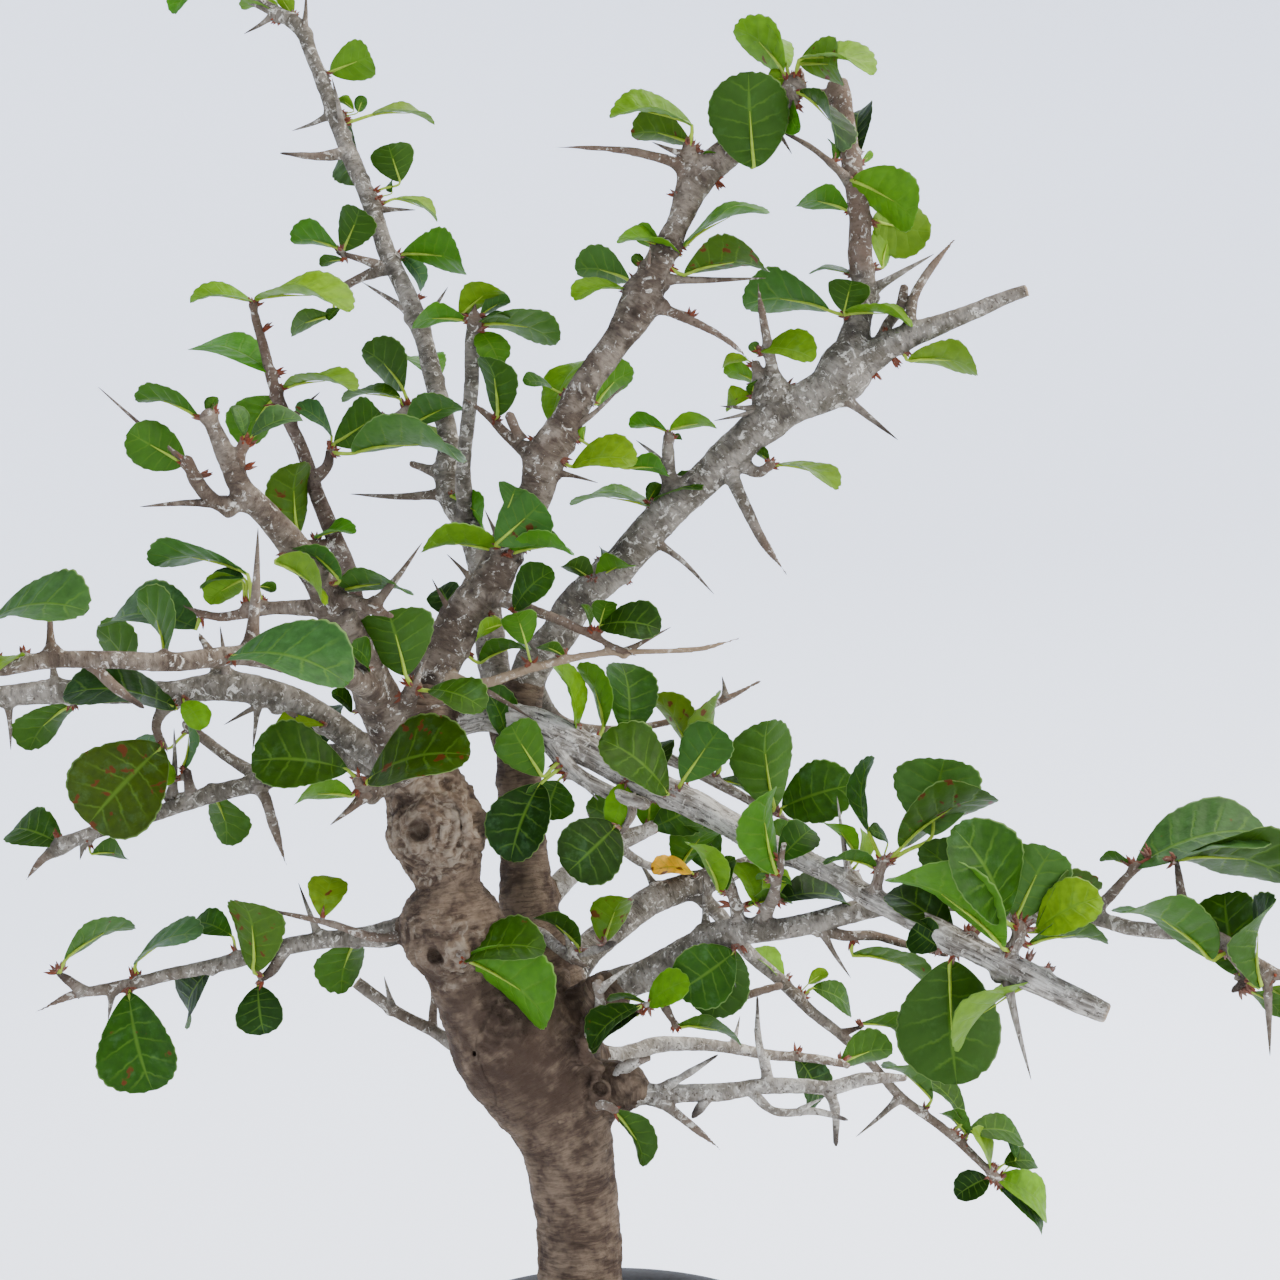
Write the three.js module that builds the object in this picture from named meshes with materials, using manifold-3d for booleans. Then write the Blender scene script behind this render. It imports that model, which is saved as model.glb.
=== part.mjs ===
// A commiphora orbicularis bonsai in a plain round pot.
// Millimetres, +Z up. The origin is the middle of the pot's underside, +X is right, +Y is away.
import * as THREE from "three";
import { mergeVertices } from "three/addons/utils/BufferGeometryUtils.js";
import Module from "manifold-3d";

const wasm = await Module();
wasm.setup();

// The pot, its soil and the mesh over its drain holes
const POT_HEIGHT = 61;
const POT_RADIUS = 50;
const POT_FOOT_RADIUS = 37;
const POT_FLOOR = 6;
const POT_WALL = 4.5;
const RIM_DEPTH = 11;
const RIM_STEP = 3;
const POT_SIDES = 24;
const DRAIN_RADIUS = 5;
const DRAIN_CIRCLE = 21;
const DRAIN_COUNT = 4;
const MESH_SIDE = 56;
const MESH_THICKNESS = 1;
const MESH_HOLES = 3;
const SOIL_TOP = 55;
const SOIL_CROWN = 58;
const GAP = 0.3;

// The eye that the routes are seen from: level with EYE_Z, EYE_DISTANCE in front of the trunk
const EYE_X = 7;
const EYE_Z = 235;
const EYE_DISTANCE = 440;

// Leaves, thorns and wood
const BLADE_THICKNESS = 0.7;
const RIB_THICKNESS = 1.2;
const SUNK = 0.6;
const LEAF_PROPORTION = 0.78;
const LEAF_FOLD = 0.22;
const LEAF_ARCH = 0.1;
const TOOTH = 0.09;
const LARGE_LEAF = 17;
const SMALL_LEAF = 11;
const LEAST_LEAF = 7.5;
const LEAST_THORN = 8;
const TRUNK_SIDES = 10;
const TRUNK_RADIUS = 8;
const WOOD_SIDES = 6;
const TWIG_SIDES = 4;
const TWIG_RADIUS = 2.7;
const THORN_SIDES = 3;
const GOLDEN = 0.618034;
const MERGE = 0.001;
const SLIVER = 0.05;
const EASE = 0.6;

// Every route is a list of [x, z, depth, radius] as seen from the front, and a thorn or a leaf is
// [x, z, x of tip, z of tip, radius or width, depth run], with a leaf's own depth at its base last.
const TRUNK_WOOD = [
  [[-8, 30, 0, 9], [-8, 48, 0, 12.5], [-8, 58, 0, 12], [-8, 68, 0, 10.8], [-8, 80, 0, 10.5],
    [-8.4, 90, 0, 10.4], [-9.8, 100, 0, 10.7], [-11.4, 110, 0, 11.5], [-14, 118, 0, 13],
    [-18, 126, 0, 15], [-23, 134, -2, 15.5], [-30, 142, -4, 11.5]],
  [[-18, 124, 0, 12], [-26, 132, -3, 13], [-32, 142, -5, 10.5], [-36, 150, -7, 9.5],
    [-38.5, 158, -8, 9.5], [-40, 163, -8, 13], [-40, 167, -8, 10], [-40, 173, -8, 7.3],
    [-42.5, 181, -8, 9.5], [-44, 188, -8, 12], [-47, 197, -8, 10], [-49, 205, -7, 7.2],
    [-47, 213, -6, 6.5], [-46.5, 219, -5, 6.1]],
  [[-15, 124, 5, 11], [-14, 138, 12, 10.5], [-16, 148, 14, 9.5], [-18, 157, 15, 8.5],
    [-21, 168, 16, 7], [-22, 180, 17, 6], [-23, 195, 17, 5.5], [-24, 208, 17, 5.4],
    [-25.5, 216, 18, 5.2]],
  [[-24, 210, 17, 4.6], [-22.5, 221, 17, 4.9]],
  [[-25, 210, 18, 4.2], [-28.5, 222, 22, 4.1]],
  [[-10, 118, 2, 8], [0, 123, -2, 6.6], [3, 124, -4, 5.4]],
  [[-14, 132, 2, 9], [-6, 142, 0, 7], [-1, 146, -1, 5.6]],
];

const BOUGHS = {
  "bough_left_near": {
    "wood": [
      [[-48, 198, -9, 5], [-52, 205, -17, 6.3], [-56, 215, -22, 6], [-62, 228, -28, 5.3],
        [-68, 240, -34, 4.6], [-73, 250, -38, 4.2], [-80, 259, -42, 3.7], [-87, 267, -46, 3.3],
        [-92, 272, -49, 3], [-96, 280, -52, 2.6], [-100, 289, -54, 2], [-101, 291, -55, 1.9]],
      [[-58, 221, -25, 3.6], [-66, 226, -40, 3], [-80, 229, -58, 2.7], [-95, 231, -74, 2.5],
        [-110, 229.5, -84, 2.5], [-125, 230, -90, 2.4], [-140, 230, -92, 2.3],
        [-153, 228, -93, 2.2], [-168, 227, -92, 1.6], [-180, 226, -90, 0.7]],
      [[-90, 270, -48, 2.4], [-98, 269, -50, 2], [-104, 275, -51, 1.9], [-106, 280, -52, 1.4]],
      [[-94, 277, -51, 1.8], [-92, 284, -52, 1.2]],
      [[-71, 243, -35, 2.4], [-85, 243, -32, 1.8], [-100, 241, -28, 1.2], [-107, 243.5, -26, 0.5]],
      [[-71, 244, -36, 2.2], [-67, 245, -39, 1.9], [-60, 243, -43, 1.7], [-55, 241, -46, 0.8]],
      [[-130, 229, -90, 1.5], [-124, 223, -92, 1.3], [-117, 218, -93, 0.6]],
      [[-52, 214, -20, 2.4], [-50.5, 221, -27, 2.2], [-49, 224, -29, 1]],
      [[-52, 200, -12, 3.2], [-60, 198, -21, 2.4], [-64, 200, -25, 1.2]],
    ],
    "thorns": [
      [-96, 268, -118, 268.3, 1.3, -4], [-118, 289, -128.5, 298.3, 0.9, 2],
      [-57, 248.5, -47.5, 259.3, 1.3, -3], [-90, 234, -88.5, 263, 2, -4],
      [-49, 224, -46, 231, 0.9, -3], [-49, 217, -41.5, 219, 0.9, -3],
      [-60, 194.5, -70.5, 188.7, 1.6, -4], [-140, 232, -141, 246, 1.3, 5],
    ],
    "leaves": [
      [-107, 279, -121, 287, 12], [-103, 290.5, -119, 295.5, 3.5], [-92, 286, -94.5, 293.5, 3],
      [-90, 286, -77.5, 290.5, 6.5], [-84, 254.5, -72, 245, 6, -6, -6],
      [-68, 250, -79, 258.5, 5, -6, -5], [-69, 247, -51, 247.5, 5, -8],
      [-91, 251.5, -115, 254.8, 4.5, 5], [-92, 250.5, -102.5, 248.5, 3.5, 3],
      [-92.5, 250, -101, 244.5, 7, 4], [-51.5, 226, -56, 242.5, 19, -6, -3],
      [-46, 222.5, -32, 218, 8, -5, -3], [-61, 228, -65, 233.5, 3, -8, -5],
      [-61, 200, -36, 207, 14, -10, -5], [-66, 202.5, -90, 205, 15, -8, -3],
      [-65, 196, -79, 195, 6, -8], [-104, 238, -126, 240, 11, 8], [-95, 231, -66, 225, 13, -8, -4],
      [-147, 231, -155, 227, 5, -8], [-155, 240, -131.5, 243, 12, -6], [-100, 291, -99.5, 296, 3],
      [-172, 228, -190, 236, 12, 4], [-160, 227, -172, 214, 11, -6], [-112, 230, -118, 246, 11, 10, 3],
    ],
  },
  "bough_top_centre": {
    "wood": [
      [[-47, 214, -6, 4.6], [-46.3, 220, -5, 5.6], [-45, 226, -5, 6], [-42, 232, -5, 5.6],
        [-36, 242, -5, 5.6], [-30, 250, -5, 5], [-25, 261, -5, 4.6], [-19, 272, -5, 4.4],
        [-17, 280, -5, 5], [-11, 290, -5, 4], [-6, 300, -5, 3.7], [0, 308, -5, 3.7],
        [7, 319, -5, 5], [12, 330, -6, 3.5], [17, 340, -6, 3.1], [21.5, 350, -7, 4],
        [29, 357, -8, 3.8], [36, 364, -8, 3.3], [43, 370, -9, 3], [47, 375, -9, 2.5]],
      [[-44, 227, -6, 2.2], [-34, 224, -12, 1.4], [-20, 228, -14, 1.2], [-4, 231.5, -15, 1],
        [15, 232.3, -16, 0.8], [22, 232.8, -16, 0.8], [32, 235.5, -16, 0.4]],
      [[-32, 247, -7, 2.6], [-20, 242.5, -11, 1.5], [-12, 239.5, -12, 1.3], [-5, 236, -13, 1],
        [6, 231, -19, 0.5]],
      [[-18, 280, -5, 2.6], [-26, 286, -2, 1.5], [-31, 291, 0, 1.1], [-37, 295.5, 2, 0.4]],
      [[-23, 285, -3, 1.4], [-26, 292, -5, 1.1]],
      [[20, 351, -8, 2.6], [19, 358.5, -9, 1.6]],
      [[17, 341, -6, 1.8], [17, 353, -9, 1.5], [8, 356.5, -11, 1.2], [-4, 358, -12, 0.8],
        [-14.5, 358.3, -12, 0.3]],
      [[9, 319, -5, 2], [16, 316.5, -9, 1.3], [30, 309, -12, 0.9], [34.5, 305, -13, 0.3]],
    ],
    "thorns": [
      [-35.5, 249.5, -41.3, 256.5, 0.9, -4], [-41, 241, -45, 250.3, 0.9, -4],
      [-9.5, 282.5, 3.2, 298.8, 1.1, -6], [-12, 276, -3.5, 274.3, 0.9, -2],
      [6, 322, 9.6, 333.5, 1.2, -6], [17, 322, 38.5, 325.5, 1.3, -4],
      [13, 318.5, 20.5, 316.5, 1, 4], [17, 355.5, 10, 359.5, 1, -3], [41, 363, 45, 356.5, 1, -3],
      [-33, 260, -31.8, 267.5, 0.8, -3], [-36, 224, -19.5, 215, 1, -6], [3, 229, 14.7, 238.2, 0.8, -2],
    ],
    "leaves": [
      [20, 363.8, -0.5, 366.5, 8.5, -3, -4], [20, 359, 5, 362, 5, 4],
      [35.5, 353, 34, 377, 20, -5, -7], [43, 377, 31, 388.5, 6, 3], [44, 378, 37, 388, 5, 7],
      [47, 380.5, 65.5, 377, 9, -7, -3], [47, 379, 57, 378, 7, -12], [47, 372, 57, 358, 6, -8, -3],
      [45, 370, 46.5, 362, 3.5, -3], [17.5, 333.5, 39, 342.5, 5, -6], [17, 331.5, 1.5, 334.8, 4, -4],
      [12, 333, 5.5, 337, 4, 4], [18, 326.5, 38.5, 328.5, 4.8, -9, -2],
      [4.5, 325, -9, 328, 7, 6, 2], [3, 323, -9.5, 320.5, 6, -6], [-15, 289, -7, 305.5, 9, 8, 4],
      [-4, 294, 5, 302.5, 7, 7, 4], [-28.5, 291, -31.5, 306, 9, -7, -2], [-15, 298, -22, 299.5, 4, -5],
      [-10, 278.5, 6, 280, 9, -6, -4], [4, 278, 14, 277, 4, -5], [-29, 259, -17.5, 269.5, 14, -4, -7],
      [-26, 268, -24, 273.5, 9, -4, -6], [-27, 256.5, -47.5, 258, 5, -6, -2],
      [-26, 256.5, -10, 257, 3.5, -5, -3], [-24.5, 242.5, -15, 252.5, 9, -4, -2],
      [-21.5, 234, -24, 242, 9, -5, -2], [-27, 239, -34, 236, 4, -6, -5],
      [-33, 229.5, -21, 233, 3, -5], [-12, 231, -18.5, 233.5, 3, -4], [-39, 241, -43, 248.5, 9, 5, 5],
      [-3, 238.5, 12, 238, 9.5, -6], [-3, 239, -1, 245, 6, -5],
    ],
  },
  "bough_top_right": {
    "wood": [
      [[-23.5, 215, 17, 3.6], [-22.2, 222, 17, 4.4], [-19, 230, 17, 4.8], [-13, 237, 16, 4.6],
        [-10, 243, 16, 4.6], [-5, 248, 15, 4.5], [2, 254, 14, 4.5], [10, 263, 13, 4.5],
        [17, 270, 12, 4.4], [24, 276, 11, 4.4], [31, 283, 10, 4.5], [38, 289, 9, 5],
        [46, 294, 8, 4.5], [54, 298, 7, 5.5], [58, 302, 7, 7], [60, 308, 7, 4.4],
        [61.5, 315, 7, 3.5], [63, 322, 7, 3], [62, 332, 6, 3.1], [62, 341, 6, 2.7],
        [61, 348, 5, 2.7], [59.5, 356, 5, 2.5], [58.5, 364, 4, 2.4], [57, 370, 4, 3.1],
        [56.3, 375, 4, 2.6]],
      [[58, 302, 7, 4.5], [64, 305, 5, 3.8], [70, 309, 3, 3.3], [77, 312, 1, 3],
        [85, 315, -1, 2.4], [90, 317, -2, 2.2], [100, 321.2, -4, 1.8], [104, 322.5, -5, 1.6]],
      [[57, 371, 4, 1.8], [50, 372, 10, 1.6], [47, 377, 12, 1.2]],
      [[40, 290, 9, 4.2], [40, 297, 8, 4.6], [37.5, 299, 7, 2], [36, 304, 6, 1.2]],
      [[66, 306, 4, 1.8], [69, 314, 6, 1.5], [72, 318, 7, 1.5], [73, 323, 7, 1.2]],
      [[74, 311, 2, 1.8], [76, 322, 5, 1.3], [79, 327, 6, 1.2], [85.5, 335, 7, 0.5]],
      [[60, 349, 5, 1.4], [55, 354, 1, 1], [50, 358, 1, 0.8], [43, 362, 3, 0.5]],
      [[15, 268, 12, 2.4], [14, 282, 9, 1.7], [14, 286, 8, 1.2]],
      [[31, 280, 10, 2], [37, 277, 7, 1.5], [40, 279, 5, 0.9]],
      [[28, 280, 10, 2.2], [34, 267, 5, 1.6], [37, 261, 3, 1.3], [44.2, 250.7, 1, 0.3]],
      [[41, 297, 8, 2.2], [39.5, 306, 4, 1.5], [38, 314, 2, 1.2], [36.3, 324.5, 1, 0.3]],
      [[-20.5, 226, 17, 2.2], [-13, 215, 26, 1.5], [5, 213, 35, 1], [19, 216, 36, 1],
        [28, 220, 37, 0.9], [37, 224.7, 38, 0.5]],
    ],
    "thorns": [
      [64, 321, 80.5, 331.5, 1.4, -5], [59, 294, 71.5, 285, 1.5, -6], [40, 292.5, 27, 293.5, 1.1, -4],
      [36, 294, 25.5, 289.8, 0.9, -5], [12, 258, 25.5, 246.5, 1.1, -6], [12, 277, 6, 285, 1, 5],
      [28, 221, 27.5, 226, 0.8, 2],
    ],
    "leaves": [
      [60, 350, 76, 340, 9.5, -7, -4], [65, 340, 79.5, 337, 14, 5], [67.5, 328, 71, 338, 7, 5],
      [59, 342.5, 46.5, 344.5, 3.5, -5], [60, 326.5, 49.5, 327, 3, 4], [54.5, 317.5, 33, 319.5, 7, 8, 2],
      [58, 317, 60, 325, 10.5, -5, -5], [58, 316.5, 75, 314, 3, -7, -3], [74, 305, 91.5, 302.5, 4.5, -6],
      [62, 357, 62, 368, 9, 7, 3], [55.5, 355, 54.5, 360, 3, 3], [37.5, 307.5, 50.5, 305.5, 9, -8],
      [34, 305, 27.5, 303.5, 3.5, 3], [36.5, 299, 28, 302.5, 3.5, 5], [35, 296, 28.5, 294, 6, 6],
      [14, 287, 4.5, 288.7, 2.5, 5], [14.5, 287.5, 26, 288.7, 3, -4], [10.5, 269.5, 22.5, 273.3, 4, -7],
      [11, 267.8, -10, 269.5, 3, 6], [41.5, 279, 56.5, 273.2, 5, -6], [-4, 250, 4.5, 254, 5, -7, -3],
      [-5, 250, -12, 254, 5, -5, -3], [-2, 253, -2.5, 258, 3, 4],
    ],
  },
  "bough_top_left": {
    "wood": [
      [[-26.5, 216, 20, 3], [-28.3, 222, 22, 3.7], [-29.5, 228, 24, 4], [-31, 240, 27, 3.7],
        [-33, 255, 30, 3.5], [-36, 264, 32, 3.4], [-40, 270, 33, 3.2], [-41, 278, 34, 3.3],
        [-41, 286, 35, 2.6], [-43, 294, 36, 2.6], [-45, 302, 37, 2.5], [-47, 310, 38, 2.4],
        [-49, 316, 39, 2.6], [-53, 325, 40, 2.4], [-56, 331, 41, 2.3], [-59, 340, 42, 2.2],
        [-62, 348, 43, 2.1], [-65, 355, 44, 2.3], [-68, 362, 45, 2], [-71, 371, 46, 2],
        [-75, 381, 47, 1.8], [-78, 388, 48, 2], [-84, 392, 48, 1.6], [-92, 396, 49, 1.4],
        [-100, 400, 50, 1.1], [-112, 404, 51, 0.6]],
      [[-36, 266, 31, 2.4], [-37, 272, 24, 2.2], [-37, 280, 19, 1.9], [-36, 290, 15, 1.9],
        [-35, 300, 12, 1.9], [-35, 310, 10, 1.9], [-34, 321.5, 9, 0.3]],
      [[-43, 293, 36, 1.8], [-50, 292, 34, 1.6], [-58, 289, 33, 1]],
      [[-41, 276, 34, 1.8], [-50, 279, 36, 1]],
      [[-56, 328, 41, 1.5], [-63, 325.5, 43, 1.2], [-70, 321.5, 45, 0.7]],
      [[-56, 328, 41, 1.4], [-62, 330, 38, 1], [-69, 332, 36, 0.6]],
      [[-66, 357, 44, 1.6], [-72, 356, 42, 1.2], [-83, 356.7, 40, 0.3]],
    ],
    "thorns": [
      [-42, 271.5, -65.5, 271.5, 1.4, 3], [-38.5, 284, -50, 288.5, 1, -4],
      [-46.5, 314.5, -41, 323.3, 1, -3], [-50, 315.5, -62.5, 324.5, 1.1, 3],
      [-67, 361, -70, 375.5, 1, -5], [-72, 366, -80, 362.3, 0.9, 3], [-85, 390, -92, 386.5, 0.9, 3],
      [-77, 386, -76.5, 398, 0.9, -3], [-56, 344, -49, 342.5, 0.9, -2],
    ],
    "leaves": [
      [-38, 316, -28, 323, 5, -6], [-37, 315, -50, 314, 3, -5], [-33, 314, -13.5, 310, 5, 8],
      [-33, 312, -28, 304, 8, -5], [-51, 288, -37, 293.5, 5.5, -8, -4], [-50, 287, -41, 283.5, 5, 5],
      [-53, 295.5, -67, 295, 3, 4], [-52, 297.5, -62, 308, 10, 6], [-40, 271, -32, 264, 6, -8, -4],
      [-68, 332.5, -80, 335, 3.5, 5], [-67.5, 332, -63, 343, 10, -6], [-70, 316, -80.5, 312, 3, -4],
      [-52.5, 331.5, -37, 329, 8, -7], [-53, 331, -47, 323, 5, 6], [-53, 349.5, -56, 359, 11, -5],
      [-54, 345.5, -43.5, 340, 3, 4], [-70.5, 377, -60, 381, 9, -6], [-60, 366.5, -44.5, 364.5, 4.5, 6],
      [-83, 391, -92, 393, 3.5, 5], [-80, 391, -84, 397, 4, -4], [-98, 400, -110, 392, 9, -5],
      [-108, 404, -118, 412, 9, 6], [-44, 300, -52, 306, 8, 14, 4], [-62, 350, -66, 362, 9, 13, 4],
    ],
  },
  "bough_left_slender": {
    "wood": [
      [[-49, 210, -2, 2.8], [-54, 217, 4, 3], [-58, 224, 7, 2.9], [-61, 232, 8, 2.8],
        [-64, 242, 8, 2.6], [-66, 252, 8, 2.4], [-70, 262, 8, 2.2], [-74, 272, 8, 2],
        [-78, 284, 8, 1.7], [-82, 292, 8, 1.6], [-85, 300, 8, 1.5], [-87, 308, 8, 1.3],
        [-89, 315, 8, 1.2], [-90, 319, 8, 0.8]],
      [[-75, 275, 8, 1.5], [-71, 279, 6, 1.4], [-70.5, 283, 5, 0.9]],
      [[-68, 259, 8, 1.3], [-81, 259.5, 4, 0.6]],
    ],
    "thorns": [[-63, 240, -70, 247, 0.9, 5], [-80, 290, -73, 297, 0.9, -4]],
    "leaves": [
      [-89.5, 319.5, -105.5, 320, 5.5, -5], [-89, 320, -65.5, 318, 7.5, -7],
      [-85, 301.5, -104, 309, 9, 6], [-82, 298, -64.5, 298, 3, -7], [-78.5, 261, -78.5, 279.5, 9, -5, -3],
      [-74, 260.5, -64.5, 262, 3, -5], [-65, 281.8, -38, 280.8, 5, -11, -3],
      [-69.5, 284, -58, 292, 13, -6], [-70, 286, -79, 293.5, 4, -6], [-84, 296, -92, 284, 9, 9, 3],
    ],
  },
  "bough_left_level": {
    "wood": [
      [[-50, 200, -8, 3.2], [-58, 205.5, -8, 3.8], [-65, 210, -9, 3.5], [-73, 216, -11, 3.3],
        [-82, 220.5, -13, 3.6], [-95, 223.5, -15, 3.8], [-110, 222, -17, 3], [-125, 222, -19, 3],
        [-140, 222, -20, 3.1], [-153, 221, -21, 2.7], [-166, 220, -22, 2.2], [-178, 218, -23, 1.2]],
      [[-82, 219, -13, 1.6], [-77, 212, -16, 1]],
      [[-110, 221, -17, 2], [-114, 213, -20, 1.3], [-112.5, 209, -21, 1.1]],
      [[-98, 224, -15, 1.8], [-100, 231, -12, 1.4], [-103, 236, -10, 0.8]],
    ],
    "thorns": [
      [-84, 218, -97, 213.8, 1.1, -5], [-89, 218, -89.8, 207.5, 1, -3], [-96, 226, -98, 238.5, 1.2, -4],
      [-151, 219, -150.3, 207.5, 1, 3], [-139, 225, -139.8, 240, 1, 4],
    ],
    "leaves": [
      [-109, 218, -137, 222, 9, -8, -4], [-107, 219.5, -102, 213, 6, -3, -4],
      [-112.5, 208.5, -131, 189, 24, -5, -2], [-135, 219, -146, 208, 6.5, 6],
      [-72, 214, -84, 212, 5, -5, -3], [-172, 219, -188, 224, 13, 6], [-164, 220, -176, 206, 12, -6],
      [-120, 222, -128, 238, 12, 9, 3],
    ],
  },
  "bough_left_middle": {
    "wood": [
      [[-48, 197, -2, 3.6], [-56, 202.5, 3, 4.2], [-62, 205, 4, 3.5], [-72, 206, 4, 2.8],
        [-82, 202, 4, 2.4], [-90, 199, 3, 2.3], [-100, 196.5, 3, 2.3], [-110, 193, 2, 2],
        [-121, 189.5, 2, 1.9], [-132, 186, 1, 1.8], [-138, 183.3, 1, 2.2], [-142, 180.5, 0, 1.2],
        [-147, 174.5, 0, 0.3]],
      [[-86, 200, 4, 1.9], [-95, 205, 7, 1.5], [-101, 209.5, 9, 1.4], [-106.5, 214, 10, 1.2]],
      [[-104, 195.5, 3, 1.6], [-112, 195.5, 5, 1.2]],
      [[-89, 199, 3, 1.8], [-86.5, 195, 0, 1.5], [-85, 190, -1, 1.4], [-81, 177.3, -2, 0.3]],
      [[-105, 195, 3, 1.5], [-106.5, 203, 1, 1]],
    ],
    "thorns": [[-110, 197, -109.5, 213, 1.2, -4], [-131, 184, -133, 180, 1, -3]],
    "leaves": [
      [-130, 181.5, -121.5, 181, 5.5, -3], [-107, 203, -107, 217, 4, -4],
      [-109, 200, -119, 204, 8, -7], [-124, 190, -136, 199, 12, 9], [-100, 197, -96, 184, 11, 8, 3],
      [-74, 206, -70, 219, 11, 9, 3], [-138, 184, -150, 188, 9, 6],
    ],
  },
  "bough_left_low": {
    "wood": [
      [[-42, 165, -4, 4.2], [-50, 163, -4, 3.9], [-56, 161.5, -4, 3.3], [-64, 160.7, -4, 2.4],
        [-72, 160, -4, 2.2], [-80, 158.7, -4, 2.2], [-90, 156, -5, 2], [-100, 153.5, -5, 1.9],
        [-110, 151.5, -6, 1.7], [-120, 149, -6, 1.6], [-128, 147.5, -6, 1.5], [-134, 146.5, -6, 1.2],
        [-144, 142, -6, 0.3]],
      [[-50, 162, -4, 1.6], [-58, 160.5, -10, 1.2], [-70, 164, -11, 0.9], [-87.3, 167.8, -12, 0.3]],
      [[-82, 158, -4, 1.7], [-85, 152.5, -6, 1.5], [-88, 150, -7, 1]],
      [[-132, 146.8, -6, 1.4], [-136, 150, -7, 1.2], [-139, 152, -8, 0.7]],
    ],
    "thorns": [[-73, 161, -78.4, 174.3, 1, 3], [-125, 148, -126, 140, 1, 3]],
    "leaves": [
      [-72.5, 165.5, -70, 176, 10, 5], [-89.5, 152, -92, 170, 14.5, -7, -3],
      [-95, 161, -105, 164.5, 6, 5], [-119.5, 154, -103, 162, 4, -5],
      [-120.8, 147, -115, 122.3, 19.5, -4, -2], [-88.5, 148.5, -87, 136.5, 12, -4],
      [-137, 155, -119.5, 164, 5.5, 6], [-64, 160, -68, 147, 10, 8, 2], [-100, 153, -106, 141, 10, 9, 2],
    ],
  },
  "twig_left_bare": {
    "wood": [
      [[-28, 132, 6, 2.2], [-38, 133, 12, 1.9], [-45, 137.5, 15, 1.6], [-52, 141, 16, 1.5],
        [-60, 146.5, 17, 1.6], [-64, 149.5, 17, 1.6]],
      [[-45, 137.5, 15, 1.2], [-44.5, 146, 18, 0.9], [-44, 153, 20, 0.4]],
    ],
    "thorns": [[-55, 143, -57, 151, 0.8, -3]],
    "leaves": [],
  },
  "bough_right": {
    "wood": [
      [[-46, 213, -4, 3.8], [-38, 215.5, -1, 4.3], [-33, 216.5, 0, 4.2], [-24, 215, 0, 4.2],
        [-15, 212, 0, 4.2], [-8, 208.5, 0, 4], [0, 204, 0, 3.8], [8, 200, -1, 3.6],
        [15, 196.5, -2, 3.5], [22, 193, -4, 3.5], [30, 188.5, -6, 3.3], [38, 184, -9, 3.2],
        [48, 180, -14, 2.8], [56, 176, -19, 2.6], [64, 171, -25, 2.6], [74, 166, -33, 2.8],
        [84, 161, -40, 3], [94, 156, -45, 3], [104, 151, -49, 3.3], [114, 146, -52, 3],
        [124, 141.5, -55, 2.7]],
      [[-17, 211, 0, 2.4], [-10, 202.5, -4, 1.9], [-1, 197, -5, 1.8], [8, 194, -6, 1.6]],
      [[4, 196, -5, 1.4], [5, 193, -6, 1.1], [0.5, 184.5, -8, 0.7]],
      [[-4, 206, 1, 2], [6, 208, 10, 1.6], [17, 204, 14, 1.5], [26, 199.5, 15, 1.4],
        [35, 194.5, 15, 1.2], [44, 190, 15, 0.5]],
      [[65, 170, -26, 1.8], [66.5, 175, -28, 1.4], [68, 180, -29, 0.9]],
      [[98, 154, -47, 2], [101, 160, -49, 1.6], [102, 164, -50, 1.1]],
    ],
    "thorns": [
      [61, 176, 56.2, 196, 1, 3], [97, 152, 104.8, 125, 1.4, -5], [-13, 200, -3.5, 195, 0.9, -4],
    ],
    "leaves": [
      [14, 196.5, -2.5, 210.5, 12.5, -6, -6], [12, 202, 13, 210, 7, 7, 3],
      [4, 211, 2.5, 229.5, 13, 6, 4], [-2, 213, -8, 229, 6, 4, 3], [-9, 212, -14, 229, 4, -4],
      [19.5, 206, 10.5, 221, 7, 4, 2], [27, 203, 26.3, 222, 6, -5, -2], [17.5, 199.5, 27, 213, 13, -3, -5],
      [40.5, 193, 38.5, 215, 16, -4, -3], [42.5, 193, 60.5, 199, 14, -8, -3],
      [26, 200, 36, 196.5, 4, 5, 3], [3, 199, 0, 188.5, 8, -4, -3], [-17.5, 201, -25.5, 214, 12, -5, -7],
      [-13.5, 199.8, -17, 190.5, 12.5, -4, -3], [-18, 199, -25.5, 180, 15, -8, -7],
      [1, 188.5, -11, 177, 17, -6, -2], [-26.5, 209, -33, 224, 6, -5, -3],
      [61, 181.5, 53.8, 189.5, 4, -4], [62, 180, 63, 187.5, 5, 5], [66, 178, 53.5, 179.5, 4, -5],
      [72, 183, 95.5, 196.5, 13, -8], [80, 186, 83, 205.5, 22, -4], [98, 165, 86, 188, 19, -8, -4],
      [101, 165, 110, 183, 17, -3], [106, 163, 122, 173.5, 7, 5], [106, 162, 122, 171, 10, -7],
      [104, 159, 124, 160, 7, -4], [98, 158, 70, 176, 12, -5, -5], [85, 160, 69, 172, 10, 6, 3],
      [92, 165, 78, 184, 12, 6, 2], [84.5, 155, 86, 124.3, 27, 3], [107.5, 150, 86, 133, 7, 6],
    ],
  },
  "bough_right_low": {
    "wood": [
      [[-7, 144, 0, 3.6], [0, 148, -1, 4.4], [8, 151, -3, 4], [18, 157, -6, 3.6],
        [26, 161, -8, 3.6], [32, 162, -10, 3.4], [40, 162.5, -13, 2.8], [50, 164.3, -13, 2.7],
        [58, 166.5, -13, 2.8], [64, 168, -14, 2.8], [72, 169.5, -17, 2.7], [80, 170, -21, 2.5],
        [92, 168.5, -27, 2.4], [106, 166, -34, 2.2], [118, 166, -38, 2], [130, 163, -44, 2],
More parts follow.
